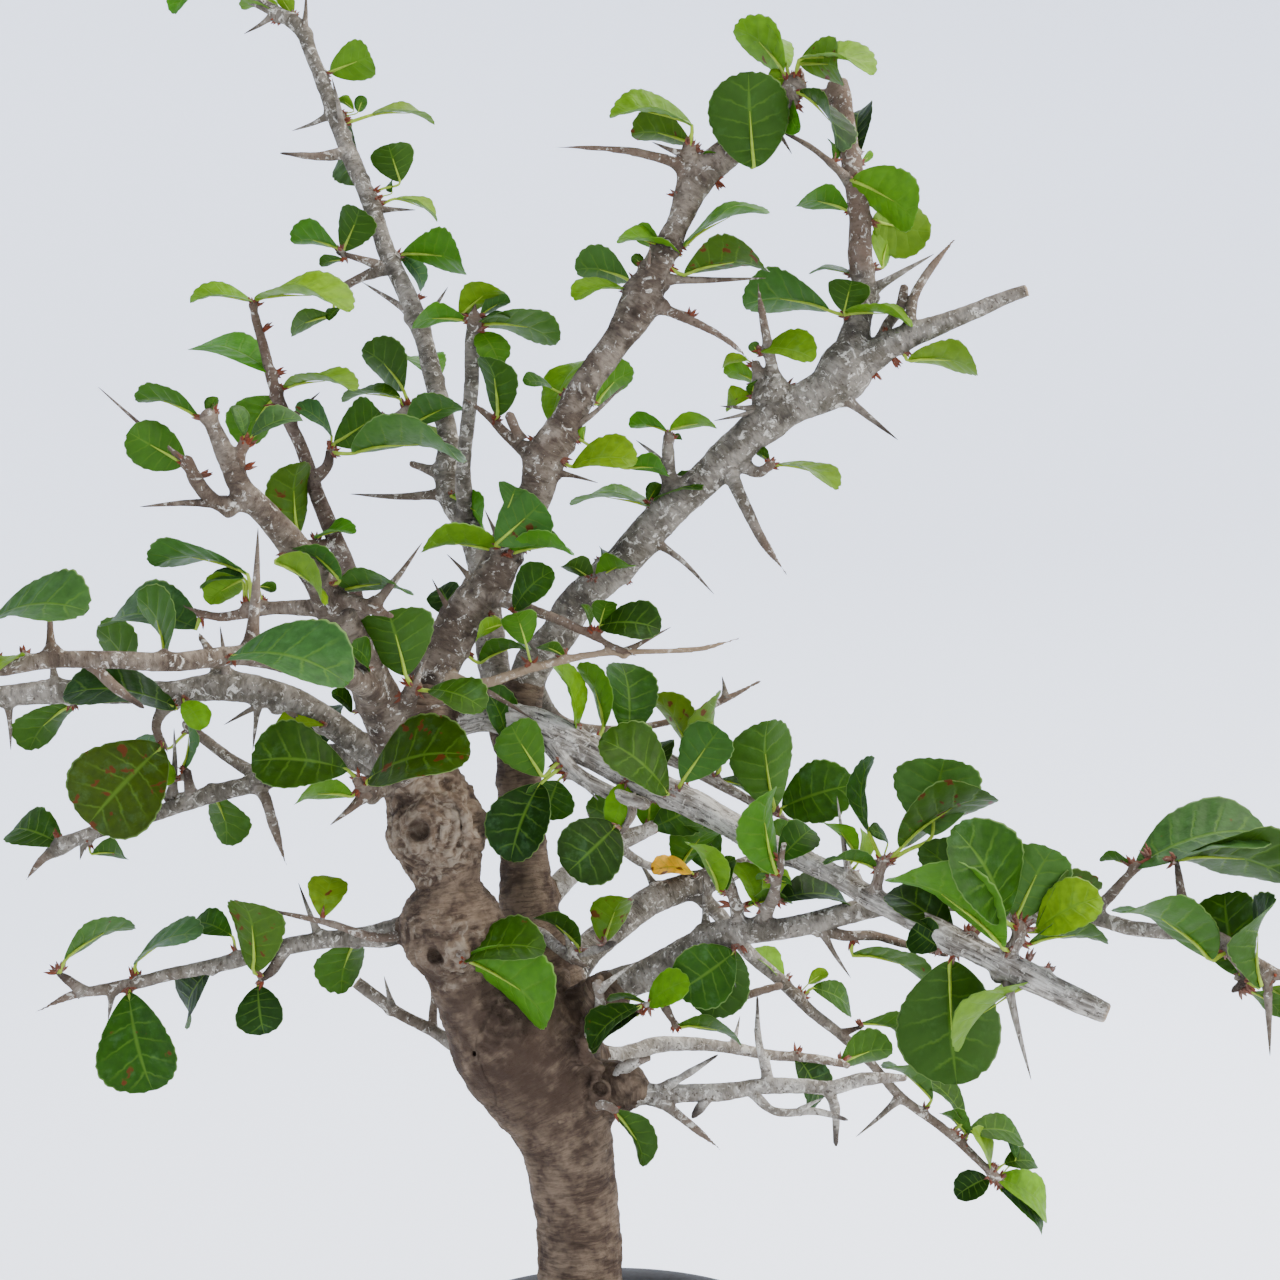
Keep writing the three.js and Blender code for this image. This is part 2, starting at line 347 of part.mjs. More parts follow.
        [140, 162, -50, 2], [146, 162, -54, 2.3], [152, 160, -57, 2], [158, 156, -60, 1.8],
        [168, 151, -62, 1.3], [178, 148, -62, 0.6]],
      [[118, 165.5, -38, 1.8], [124, 170.5, -40, 1.5], [130, 177, -43, 1.2], [136, 181, -45, 0.6]],
      [[145, 162, -54, 1.7], [143, 168, -53, 1.5], [142, 174, -52, 1.1], [141, 181, -52, 0.5]],
      [[152, 160, -57, 1.3], [158, 150, -61, 1.1], [155, 147, -62, 0.8]],
      [[50, 164, -13, 1.7], [57, 161.3, -11, 1.4], [66, 161, -9, 1.2], [73, 159, -8, 1],
        [84, 156, -7, 0.5]],
      [[11, 152, -4, 1.8], [13, 144, -6, 1.4], [16, 138.5, -8, 0.8]],
      [[32, 162, -10, 2], [31, 168, -12, 1.7], [30, 173, -13, 1.3], [24.7, 184.3, -14, 0.3]],
      [[36, 162.5, -11, 2], [40, 170, -16, 1.6], [41.5, 176, -20, 1.3], [43, 184, -22, 0.8]],
      [[15, 155, -5, 1.8], [24, 145, 4, 1.4], [42, 148.5, 8, 1.1]],
    ],
    "thorns": [
      [23.5, 160, 22.8, 176, 1.2, 3], [52, 163, 59.7, 150.5, 1, -4], [27, 161, 31, 148, 1, -5],
      [163, 152, 164.5, 131, 1.5, -3],
    ],
    "leaves": [
      [30.5, 157, 16.5, 147, 16, -5, -3], [30, 158, 25, 141, 16, 7, 4], [16, 138.5, 32.5, 134.5, 6, -5],
      [27, 172, 19.5, 184.5, 6, -5], [36, 169, 31, 179.5, 6, 4], [42, 170, 59, 169.7, 5, 6],
      [41, 176.5, 39, 197.5, 11, -6, -3], [42, 180, 50, 188, 9, 5], [60, 156.5, 81, 148.8, 6, -3],
      [130.5, 178, 164, 187.5, 10, -5], [141, 180, 170, 176, 13, 5], [157, 151, 153, 172, 14, 8, 4],
      [162, 148, 165, 170, 10, -8, -4], [150, 155, 128, 168, 10, -8, -3], [164, 148, 172, 141, 8, 4],
      [170, 150, 186, 158, 14, 5], [176, 148, 190, 140, 13, -5],
    ],
  },
  "twig_right_dead": {
    "wood": [
      [[-2, 122.5, -3, 4.4], [4, 122.5, -5, 4], [10, 121.5, -5, 2.8], [18, 121.7, -5, 2.4],
        [28, 122, -5, 2.2], [38, 123.5, -5, 2.1], [48, 123.5, -5, 1.9], [55, 123, -5, 1.8],
        [62, 125, -5, 1.9], [68, 125.5, -5, 1.5], [73, 125.5, -5, 1.1]],
      [[9, 121.5, -5, 1.9], [15, 117.5, -8, 1.4], [20, 113.5, -9, 1.1], [27, 107.8, -10, 0.4]],
      [[11, 122, -5, 1.5], [18, 126, -8, 1], [26.5, 131.3, -9, 0.4]],
      [[25, 122, -5, 1.4], [22, 118, -7, 1.2], [20, 115.5, -8, 0.8]],
      [[39, 123.5, -5, 1.7], [38.5, 128, -4, 1.3], [37, 133, -3, 1], [36.3, 146, -2, 0.3]],
      [[34, 123, -5, 1.4], [40, 117.5, -9, 1.1], [52, 117, -10, 0.9], [59, 115, -10, 0.5]],
      [[54, 123, -5, 1.6], [55.5, 119, -5, 1.2], [56, 108.5, -5, 0.6]],
      [[0, 123, -4, 2], [3, 128, -7, 1.8], [9.5, 130.5, -9, 0.8]],
    ],
    "thorns": [[38, 130, 35.5, 138, 0.8, -3], [47, 117, 53, 120.5, 0.7, -2]],
    "leaves": [],
  },
  "twig_right_back": {
    "wood": [
      [[-6, 131, 8, 3], [4, 131, 18, 2.8], [10, 133.5, 22, 2.2], [20, 134, 25, 1.8],
        [30, 133, 26, 1.5], [38, 131.5, 26, 1.4], [53, 130, 26, 1.2], [59, 128.5, 26, 0.8]],
    ],
    "thorns": [[30, 133, 32, 141, 0.8, 3]],
    "leaves": [[57, 129, 70, 133, 10, 4], [46, 131, 52, 119, 9, 4]],
  },
  "bough_back_pale": {
    "wood": [
      [[-20, 165, 17, 3.4], [-14, 173, 22, 3], [-8, 178.5, 25, 2.6], [3, 185, 28, 2.2],
        [10, 188, 30, 1.8]],
      [[1, 184, 28, 1.4], [8, 179, 36, 1.1], [18, 177, 42, 0.7]],
    ],
    "thorns": [[-4, 181, -6, 192, 0.9, 3]],
    "leaves": [
      [10, 188, 22, 194, 12, 5], [9, 188, 10, 200, 10, -3, 2], [17, 178, 26, 188, 10, -12],
      [4, 186, -6, 194, 10, 8, 2],
    ],
  },
  "bough_back_drooping": {
    "wood": [
      [[-12, 143, 14, 4.2], [-8, 155, 26, 4], [3, 165, 34, 3.7], [10, 170, 37, 3.6],
        [18, 173, 40, 3.5], [24, 175, 41, 3.3], [32, 178, 42, 2.4], [38, 181, 43, 1.2]],
      [[20, 173, 40, 2.2], [28, 165, 43, 1.9], [34, 157, 45, 1.8], [42, 150, 46, 1.6],
        [50, 142, 47, 1.5], [57, 136.5, 48, 1.4], [64, 130, 49, 1.3], [72, 121, 50, 1.3],
        [82, 113.5, 51, 1.2], [90, 106.5, 52, 1.1], [95, 101.5, 52, 1], [98, 99, 53, 0.6]],
      [[57, 136.5, 48, 1], [63, 138.5, 46, 0.5]],
    ],
    "thorns": [[72, 120.5, 61, 110.8, 1, 3], [12, 171, 6, 181, 1.1, 5]],
    "leaves": [
      [43, 149.5, 34.5, 157.5, 4, 4], [50, 148, 60, 142.5, 5, 5], [62, 139, 74, 136, 5, 4],
      [80, 120, 68, 128.5, 4, -3], [88, 115, 77, 126, 5, 4], [89, 112, 102.5, 111, 5, 4],
      [94.5, 103, 90.5, 112.5, 4, -3], [98, 104, 106, 104.5, 4, 3], [94, 100.5, 86, 96, 6, -3],
      [96, 100.5, 109, 92, 7, 4], [20, 177, 10, 177.5, 4, -4, -3], [36, 181, 47, 187, 12, 4],
      [34, 179, 42, 170, 10, 6], [26, 177, 22, 190, 10, 6, 3],
    ],
  },
  "shoot_trunk_left": {
    "wood": [[[-36, 152, -12, 2.6], [-37.5, 156, -18.5, 2], [-38, 158, -20, 1.2]]],
    "thorns": [],
    "leaves": [[-37, 155.3, -15.5, 140, 17, -7, -1], [-37, 155.5, -17, 158, 8, -5]],
  },
  "shoot_trunk_front": {
    "wood": [
      [[-21, 161, 13, 2.4], [-18, 161.5, 5, 1.7], [-14, 158.5, 1, 1.5], [-11, 156, -1, 1.4],
        [-6, 153, -4, 0.7]],
      [[-11, 156.5, 0, 1.2], [-4, 157.5, 0, 1.1], [1, 159.5, -1, 0.7]],
    ],
    "thorns": [[-10, 156, -12.5, 164, 0.9, -2]],
    "leaves": [[-2, 159.5, 3, 171, 9.5, -4], [-8, 158, -19, 166, 6, -4, -2]],
  },
  "shoot_trunk_right": {
    "wood": [
      [[-8, 130, -6, 2.4], [-5, 137, -14, 1.8], [-3, 143, -16, 1.6], [-3.5, 149, -17, 1.2]],
      [[-3, 142, -16, 1.1], [5, 143, -18, 0.8], [15, 145.5, -18, 0.5]],
    ],
    "thorns": [[-3.5, 148, 6, 154.5, 0.9, -2]],
    "leaves": [[7, 143.5, -5.5, 133.5, 5, -3, -3], [9, 143.8, 19, 150, 7, -4]],
  },
  "shoot_trunk_low": {
    "wood": [[[-6, 119, -8, 2], [-1, 118.5, -12.5, 1.3], [1, 117.5, -14, 0.8]]],
    "thorns": [],
    "leaves": [[0.5, 117.5, 8.5, 103.8, 8, -2]],
  },
};

const COLOURS = {
  pot: [0x34353b, 0.85],
  soil: [0x5b4a3a, 0.98],
  drainage_mesh: [0x2b2e2c, 0.7],
  trunk: [0x7b6b5c, 0.9],
  bough: [0x4f7a2c, 0.75],
  twig: [0x9a9186, 0.92],
  shoot: [0x5c8c2e, 0.7],
};

// A point seen at (x, z) from the eye, carried along the line of sight to its own depth.
function placed(x, z, depth) {
  const spread = 1 + depth / EYE_DISTANCE;
  return new THREE.Vector3(EYE_X + (x - EYE_X) * spread, depth, EYE_Z + (z - EYE_Z) * spread);
}

function radiusAt(radius, depth) {
  return radius * (1 + depth / EYE_DISTANCE);
}

function solidOf(geometry) {
  geometry.deleteAttribute("normal");
  geometry.deleteAttribute("uv");
  const merged = mergeVertices(geometry, MERGE);
  const vertProperties = new Float32Array(merged.attributes.position.array);
  const triVerts = new Uint32Array(merged.index.array);
  return new wasm.Manifold(new wasm.Mesh({ numProp: 3, vertProperties, triVerts }));
}

function geometryOf(solid) {
  const mesh = solid.getMesh();
  const geometry = new THREE.BufferGeometry();
  geometry.setAttribute("position", new THREE.BufferAttribute(mesh.vertProperties, 3));
  geometry.setIndex(new THREE.BufferAttribute(mesh.triVerts, 1));
  geometry.computeVertexNormals();
  return geometry;
}

function joined(solids) {
  return solids.reduce((whole, solid) => whole.add(solid));
}

// The one body that is left once slivers are smoothed and loose scraps and sealed hollows dropped.
function oneBody(solid) {
  const smooth = solidOf(geometryOf(solid.simplify(SLIVER)));
  return smooth.decompose().reduce((a, b) => (a.volume() > b.volume() ? a : b));
}

// Rings square to the route, each turned as little as possible from the one before.
function ringFrames(points) {
  const frames = [];
  let side = null;
  points.forEach((point, i) => {
    const before = points[Math.max(i - 1, 0)];
    const after = points[Math.min(i + 1, points.length - 1)];
    const along = after.clone().sub(before).normalize();
    const start = Math.abs(along.y) < 0.9 ? new THREE.Vector3(0, 1, 0) : new THREE.Vector3(1, 0, 0);
    side = (side ?? start).clone().addScaledVector(along, -(side ?? start).dot(along)).normalize();
    frames.push([side, along.clone().cross(side)]);
  });
  return frames;
}

// The route without the rings that a straight taper between their neighbours already gives.
function eased(route) {
  const kept = [route[0]];
  for (let i = 1; i < route.length - 1; i += 1) {
    const last = kept.at(-1);
    const next = route[i + 1];
    const run = next.map((value, k) => value - last[k]);
    const gone = route[i].map((value, k) => value - last[k]);
    const reach = run[0] ** 2 + run[1] ** 2 + run[2] ** 2;
    const t = (gone[0] * run[0] + gone[1] * run[1] + gone[2] * run[2]) / reach;
    if (Math.max(...gone.map((value, k) => Math.abs(value - t * run[k]))) > EASE) kept.push(route[i]);
  }
  return [...kept, route.at(-1)];
}

// A closed round stem whose rings stand on the route, each with its own radius.
function stem(wholeRoute, grow = 0) {
  const route = eased(wholeRoute);
  const points = route.map(([x, z, depth]) => placed(x, z, depth));
  const radii = route.map((row) => radiusAt(row[3], row[2]) + grow);
  if (grow > 0) {
    points[points.length - 1].addScaledVector(points.at(-1).clone().sub(points.at(-2)).normalize(), grow);
  }
  const widest = Math.max(...radii);
  const sides = widest > TRUNK_RADIUS ? TRUNK_SIDES : widest > TWIG_RADIUS ? WOOD_SIDES : TWIG_SIDES;
  const geometry = new THREE.CylinderGeometry(1, 1, 1, sides, route.length - 1);
  const frames = ringFrames(points);
  const position = geometry.attributes.position;
  for (let i = 0; i < position.count; i += 1) {
    const ring = Math.round((position.getY(i) + 0.5) * (route.length - 1));
    const [side, up] = frames[ring];
    const moved = points[ring].clone()
      .addScaledVector(side, position.getZ(i) * radii[ring])
      .addScaledVector(up, position.getX(i) * radii[ring]);
    position.setXYZ(i, moved.x, moved.y, moved.z);
  }
  return solidOf(geometry);
}

// The point of the wood that lies nearest to (x, z) as seen from the front.
function nearestWood(wood, x, z) {
  let best = null;
  for (const route of wood) {
    for (let i = 1; i < route.length; i += 1) {
      const [ax, az, ad, ar] = route[i - 1];
      const [bx, bz, bd, br] = route[i];
      const run = (bx - ax) ** 2 + (bz - az) ** 2;
      const most = i === route.length - 1 ? 1 - Math.min(0.6, (1.3 * br) / Math.sqrt(run)) : 1;
      const t = Math.min(most, Math.max(0, ((x - ax) * (bx - ax) + (z - az) * (bz - az)) / run));
      const near = { x: ax + t * (bx - ax), z: az + t * (bz - az), depth: ad + t * (bd - ad) };
      near.radius = ar + t * (br - ar);
      near.away = Math.hypot(x - near.x, z - near.z) - near.radius;
      if (!best || near.away < best.away) best = near;
    }
  }
  return best;
}

// A straight thorn with its root on the middle of the wood.
function thorn(wood, [x, z, tipX, tipZ, radius, run]) {
  const root = nearestWood(wood, x, z);
  const foot = placed(root.x, root.z, root.depth);
  const tip = placed(tipX, tipZ, root.depth + run);
  const length = foot.distanceTo(tip);
  const geometry = new THREE.ConeGeometry(radiusAt(radius, root.depth), length, THORN_SIDES, 1);
  geometry.translate(0, length / 2, 0);
  const turn = new THREE.Quaternion().setFromUnitVectors(
    new THREE.Vector3(0, 1, 0), tip.clone().sub(foot).normalize());
  geometry.applyQuaternion(turn);
  geometry.translate(foot.x, foot.y, foot.z);
  return solidOf(geometry);
}

// Half the blade's width at s along it, as a share of the widest: wedge-shaped base, rounded end.
function bladeHalf(s) {
  return 1.43 * s ** 0.75 * Math.sqrt(1 - s ** 5);
}

// The three lengths that settle a leaf: where it leaves the wood, its blade's base and its tip.
function leafPlace(wood, row, index) {
  const [x, z, tipX, tipZ, width, run = ((index * GOLDEN) % 1 - 0.5) * 8, lift = 0] = row;
  const root = nearestWood(wood, x, z);
  const base = placed(x, z, root.depth + lift);
  const stalk = placed(root.x, root.z, root.depth);
  const inward = stalk.clone().sub(base).normalize();
  stalk.addScaledVector(inward, SUNK * radiusAt(root.radius, root.depth));
  const tip = placed(tipX, tipZ, root.depth + lift + run);
  const seen = radiusAt(width, root.depth);
  const size = Math.max(base.distanceTo(tip), seen);
  return { stalk, base, tip, seen, size, index };
}

// A leaf is a toothed, folded and arched blade that narrows to a stalk inside the wood.
// Both faces have the same triangles. A large blade has a rim of even thickness, and a smaller
// one is thickest at its rib and thins out to its rim.
function leaf({ stalk, base, tip, seen, size, index }) {
  const along = tip.clone().sub(base);
  const length = along.length();
  along.normalize();
  const flat = new THREE.Vector3(-along.z, 0, along.x).normalize();
  const deep = along.clone().cross(flat).normalize();
  const broad = Math.max(seen, LEAF_PROPORTION * length);
  const roll = Math.acos(Math.min(1, seen / broad)) * (index % 2 ? -1 : 1);
  const across = flat.clone().multiplyScalar(Math.cos(roll)).addScaledVector(deep, Math.sin(roll));
  const normal = along.clone().cross(across);
  const turned = normal.z < 0;
  if (turned) normal.negate();

  const large = size > LARGE_LEAF;
  const edge = large ? [0.2, 0.45, 0.7, 0.9] : size > SMALL_LEAF ? [0.27, 0.6, 0.88] : [0.35, 0.8];
  const middle = large ? [0.34, 0.74] : [0.55];
  const at = (s, h) => base.clone().addScaledVector(along, s * length)
    .addScaledVector(across, (h * broad) / 2)
    .addScaledVector(normal, Math.abs(h) * broad * LEAF_FOLD + length * LEAF_ARCH * 4 * s * (1 - s));
  const rim = (sign) => edge.map((s, i) => at(s, sign * bladeHalf(s) * (i % 2 ? 1 - TOOTH : 1 + TOOTH)));
  const points = [stalk, ...rim(1), at(1, 0), ...rim(-1).reverse(), ...middle.map((s) => at(s, 0))];
  const apex = edge.length + 1;
  const ends = 2 * apex;
  const rib = (i) => (i < middle.length ? ends + i : apex);
  const faces = large ? [[0, ends - 1, 1], [1, ends - 1, rib(0)]]
    : [[0, ends - 1, rib(0)], [0, rib(0), 1]];
  for (const edgeAt of [(i) => i, (i) => ends - i]) {
    let a = 1;
    let b = 0;
    while (a < apex - 1 || b < middle.length) {
      const alongEdge = a < apex - 1 && (a + 0.5) / apex <= (b + 1) / (middle.length + 1);
      const face = [edgeAt(a), rib(b), alongEdge ? edgeAt(a + 1) : rib(b + 1)];
      faces.push(edgeAt(1) === 1 ? face : face.reverse());
      if (alongEdge) a += 1; else b += 1;
    }
  }

  // The second face's point for each point of the first: the rim of a smaller blade is shared.
  const count = points.length;
  const shared = (i) => i === 0 || (!large && i < ends);
  const below = points.map((_, i) => (shared(i) ? i : count + i));
  const thick = large ? BLADE_THICKNESS : RIB_THICKNESS;
  const corners = [1, -1].flatMap((side) => points.map((point, i) => (
    point.clone().addScaledVector(normal, shared(i) ? 0 : (side * thick) / 2))));
  const triangles = [];
  for (const face of faces) {
    const [a, b, c] = turned ? face.reverse() : face;
    triangles.push([a, b, c], [below[a], below[c], below[b]]);
  }
  for (let i = 0; i < ends; i += 1) {
    const [a, b] = turned ? [(i + 1) % ends, i] : [i, (i + 1) % ends];
    triangles.push([a, b, below[b]], [a, below[b], below[a]]);
  }
  const geometry = new THREE.BufferGeometry().setFromPoints(corners);
  geometry.setIndex(triangles.filter((face) => new Set(face).size === 3).flat());
  return solidOf(geometry);
}

function bough({ wood, thorns, leaves }, neighbour) {
  const whole = joined([
    ...wood.map((route) => stem(route)),
    ...thorns.filter(([x, z, tipX, tipZ]) => Math.hypot(tipX - x, tipZ - z) > LEAST_THORN)
      .map((row) => thorn(wood, row)),
    ...leaves.map((row, i) => leafPlace(wood, row, i)).filter(({ size }) => size > LEAST_LEAF).map(leaf),
  ]);
  return oneBody(whole.subtract(neighbour));
}

function potSolid() {
  const outerTop = POT_RADIUS - RIM_STEP;
  const profile = [
    [0, 0], [POT_FOOT_RADIUS - 1, 0], [POT_FOOT_RADIUS, 1], [outerTop - 1, POT_HEIGHT - RIM_DEPTH - 1],
    [POT_RADIUS - 1, POT_HEIGHT - RIM_DEPTH + 1], [POT_RADIUS, POT_HEIGHT - RIM_DEPTH + 2.5],
    [POT_RADIUS, POT_HEIGHT - 2], [POT_RADIUS - 1, POT_HEIGHT - 0.5], [POT_RADIUS - 2.5, POT_HEIGHT],
    [POT_RADIUS - 5, POT_HEIGHT - 0.5], [POT_RADIUS - 6, POT_HEIGHT - 2],
    [POT_FOOT_RADIUS - POT_WALL, POT_FLOOR], [0, POT_FLOOR],
  ].map(([r, z]) => new THREE.Vector2(r, z));
  const shell = new THREE.LatheGeometry(profile, POT_SIDES);
  shell.rotateX(Math.PI / 2);
  let pot = solidOf(shell);
  for (let i = 0; i < DRAIN_COUNT; i += 1) {
    const turn = ((i + 0.5) * 2 * Math.PI) / DRAIN_COUNT;
    const hole = new THREE.CylinderGeometry(DRAIN_RADIUS, DRAIN_RADIUS, 3 * POT_FLOOR, 16);
    hole.rotateX(Math.PI / 2);
    hole.translate(DRAIN_CIRCLE * Math.cos(turn), DRAIN_CIRCLE * Math.sin(turn), 0);
    pot = pot.subtract(solidOf(hole));
  }
  return pot;
}

function drainageMesh() {
  const bottom = POT_FLOOR + GAP;
  const plate = new THREE.BoxGeometry(MESH_SIDE, MESH_SIDE, MESH_THICKNESS);
  plate.rotateZ(Math.PI / 4);
  plate.translate(0, 0, bottom + MESH_THICKNESS / 2);
  const limit = new THREE.CylinderGeometry(MESH_SIDE / 2 + 2, MESH_SIDE / 2 + 2, 4, 24);
  limit.rotateX(Math.PI / 2);
  limit.translate(0, 0, bottom);
  let mesh = solidOf(plate).intersect(solidOf(limit));
  const pitch = MESH_SIDE / (MESH_HOLES + 1);
  for (let i = 0; i < MESH_HOLES; i += 1) {
    for (let j = 0; j < MESH_HOLES; j += 1) {
      const u = (i - (MESH_HOLES - 1) / 2) * pitch;
      const v = (j - (MESH_HOLES - 1) / 2) * pitch;
      if (Math.hypot(u, v) > MESH_SIDE / 2 - 2) continue;
      const hole = new THREE.BoxGeometry(pitch * 0.6, pitch * 0.6, 4);
      hole.translate(u, v, bottom);
      mesh = mesh.subtract(solidOf(hole));
    }
  }
  return mesh;
}

// The soil fills the pot above the mesh, rises a little to the trunk and has a plain hole for it.
function soilSolid(trunkHole) {
  const bottom = POT_FLOOR + MESH_THICKNESS + 2 * GAP;
  const slope = (POT_RADIUS - 6 - (POT_FOOT_RADIUS - POT_WALL)) / (POT_HEIGHT - 2 - POT_FLOOR);
  const wallAt = (z) => POT_FOOT_RADIUS - POT_WALL + slope * (z - POT_FLOOR) - 1.5 * GAP;
  const profile = [
    [0, bottom], [wallAt(bottom), bottom], [wallAt(SOIL_TOP), SOIL_TOP],
    [0.75 * POT_RADIUS, SOIL_TOP + 0.8], [0.4 * POT_RADIUS, SOIL_CROWN - 0.6], [0, SOIL_CROWN],
  ].map(([r, z]) => new THREE.Vector2(r, z));
  const lump = new THREE.LatheGeometry(profile, POT_SIDES);
  lump.rotateX(Math.PI / 2);
  return solidOf(lump).subtract(trunkHole);
}

const group = new THREE.Group();

function addPiece(name, solid, kind) {
  const [color, roughness] = COLOURS[kind];
  const material = new THREE.MeshStandardMaterial({ color, roughness, metalness: 0 });
  material.name = `${name}_finish`;
  const mesh = new THREE.Mesh(geometryOf(solid), material);
  mesh.name = name;
  group.add(mesh);
}

const trunk = joined(TRUNK_WOOD.map((route) => stem(route)));
const trunkGrown = joined(TRUNK_WOOD.map((route) => stem(route, GAP)));
addPiece("pot", potSolid(), "pot");
addPiece("soil", soilSolid(trunkGrown), "soil");
addPiece("drainage_mesh", drainageMesh(), "drainage_mesh");
addPiece("trunk", trunk, "trunk");
for (const [name, parts] of Object.entries(BOUGHS)) {
  addPiece(name, bough(parts, trunkGrown), name.split("_")[0]);
}

export default group;
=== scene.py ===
"""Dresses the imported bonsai: bark, thorns, buds and toothed leaves on its boughs, and its potted soil.

Lengths in the tables are millimetres, and every mesh is written in metres. +Z is up, +X is right
and +Y is away from the camera. The camera comes first, then the pot, the trunk and the boughs.
"""

from __future__ import annotations

import logging
import math
from dataclasses import dataclass, field
from enum import Enum

import bpy
import numpy as np
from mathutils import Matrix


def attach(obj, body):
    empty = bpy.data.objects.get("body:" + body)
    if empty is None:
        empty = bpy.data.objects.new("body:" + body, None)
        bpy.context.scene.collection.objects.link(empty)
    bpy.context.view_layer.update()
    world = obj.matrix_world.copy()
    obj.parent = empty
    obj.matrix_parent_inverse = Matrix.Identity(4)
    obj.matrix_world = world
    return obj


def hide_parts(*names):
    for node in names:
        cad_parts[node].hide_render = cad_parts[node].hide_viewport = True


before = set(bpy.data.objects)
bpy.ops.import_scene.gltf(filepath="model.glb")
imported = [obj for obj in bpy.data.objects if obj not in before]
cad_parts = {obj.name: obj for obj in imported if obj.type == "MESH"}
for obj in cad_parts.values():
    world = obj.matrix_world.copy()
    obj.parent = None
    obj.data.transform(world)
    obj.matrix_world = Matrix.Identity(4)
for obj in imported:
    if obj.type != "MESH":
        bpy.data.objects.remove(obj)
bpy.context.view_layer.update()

logging.basicConfig(level=logging.INFO, format="%(message)s")
LOG = logging.getLogger("bonsai")

MM = 0.001
EYE_X = 7.0
EYE_Z = 235.0
EYE_DISTANCE = 440.0
LENS_MM = 49.5
SENSOR_MM = 36.0
GOLDEN = 0.618034
GOLDEN_ANGLE = 2.39996
TINY = 1e-9
FAR = 9.0
BATCH = 4096
DRYNESS = 0.45
LEAF_PROPORTION = 0.78
LEAF_ARCH = 0.1
BLADE_THICKNESS = 0.34
TWIG_RADIUS = 1.75

# Routes are [x, z, depth, radius] as seen from the front. A thorn or a leaf is
# [x, z, x of tip, z of tip, radius or width, depth run], with a leaf's own depth last.
TRUNK_WOOD = [
    [[-8, 30, 0, 9], [-8, 48, 0, 12.5], [-8, 58, 0, 12], [-8, 68, 0, 10.8], [-8, 80, 0, 10.5],
     [-8.4, 90, 0, 10.4], [-9.8, 100, 0, 10.7], [-11.4, 110, 0, 11.5], [-14, 118, 0, 13], [-18, 126, 0, 15],
     [-23, 134, -2, 15.5], [-30, 142, -4, 11.5]],
    [[-18, 124, 0, 12], [-26, 132, -3, 13], [-32, 142, -5, 10.5], [-36, 150, -7, 9.5], [-38.5, 158, -8, 9.5],
     [-40, 163, -8, 13], [-40, 167, -8, 10], [-40, 173, -8, 7.3], [-42.5, 181, -8, 9.5], [-44, 188, -8, 12],
     [-47, 197, -8, 10], [-49, 205, -7, 7.2], [-47, 213, -6, 6.5], [-46.5, 219, -5, 6.1]],
    [[-15, 124, 5, 11], [-14, 138, 12, 10.5], [-16, 148, 14, 9.5], [-18, 157, 15, 8.5], [-21, 168, 16, 7],
     [-22, 180, 17, 6], [-23, 195, 17, 5.5], [-24, 208, 17, 5.4], [-25.5, 216, 18, 5.2]],
    [[-24, 210, 17, 4.6], [-22.5, 221, 17, 4.9]],
    [[-25, 210, 18, 4.2], [-28.5, 222, 22, 4.1]],
    [[-10, 118, 2, 8], [0, 123, -2, 6.6], [3, 124, -4, 5.4]],
    [[-14, 132, 2, 9], [-6, 142, 0, 7], [-1, 146, -1, 5.6]],
]

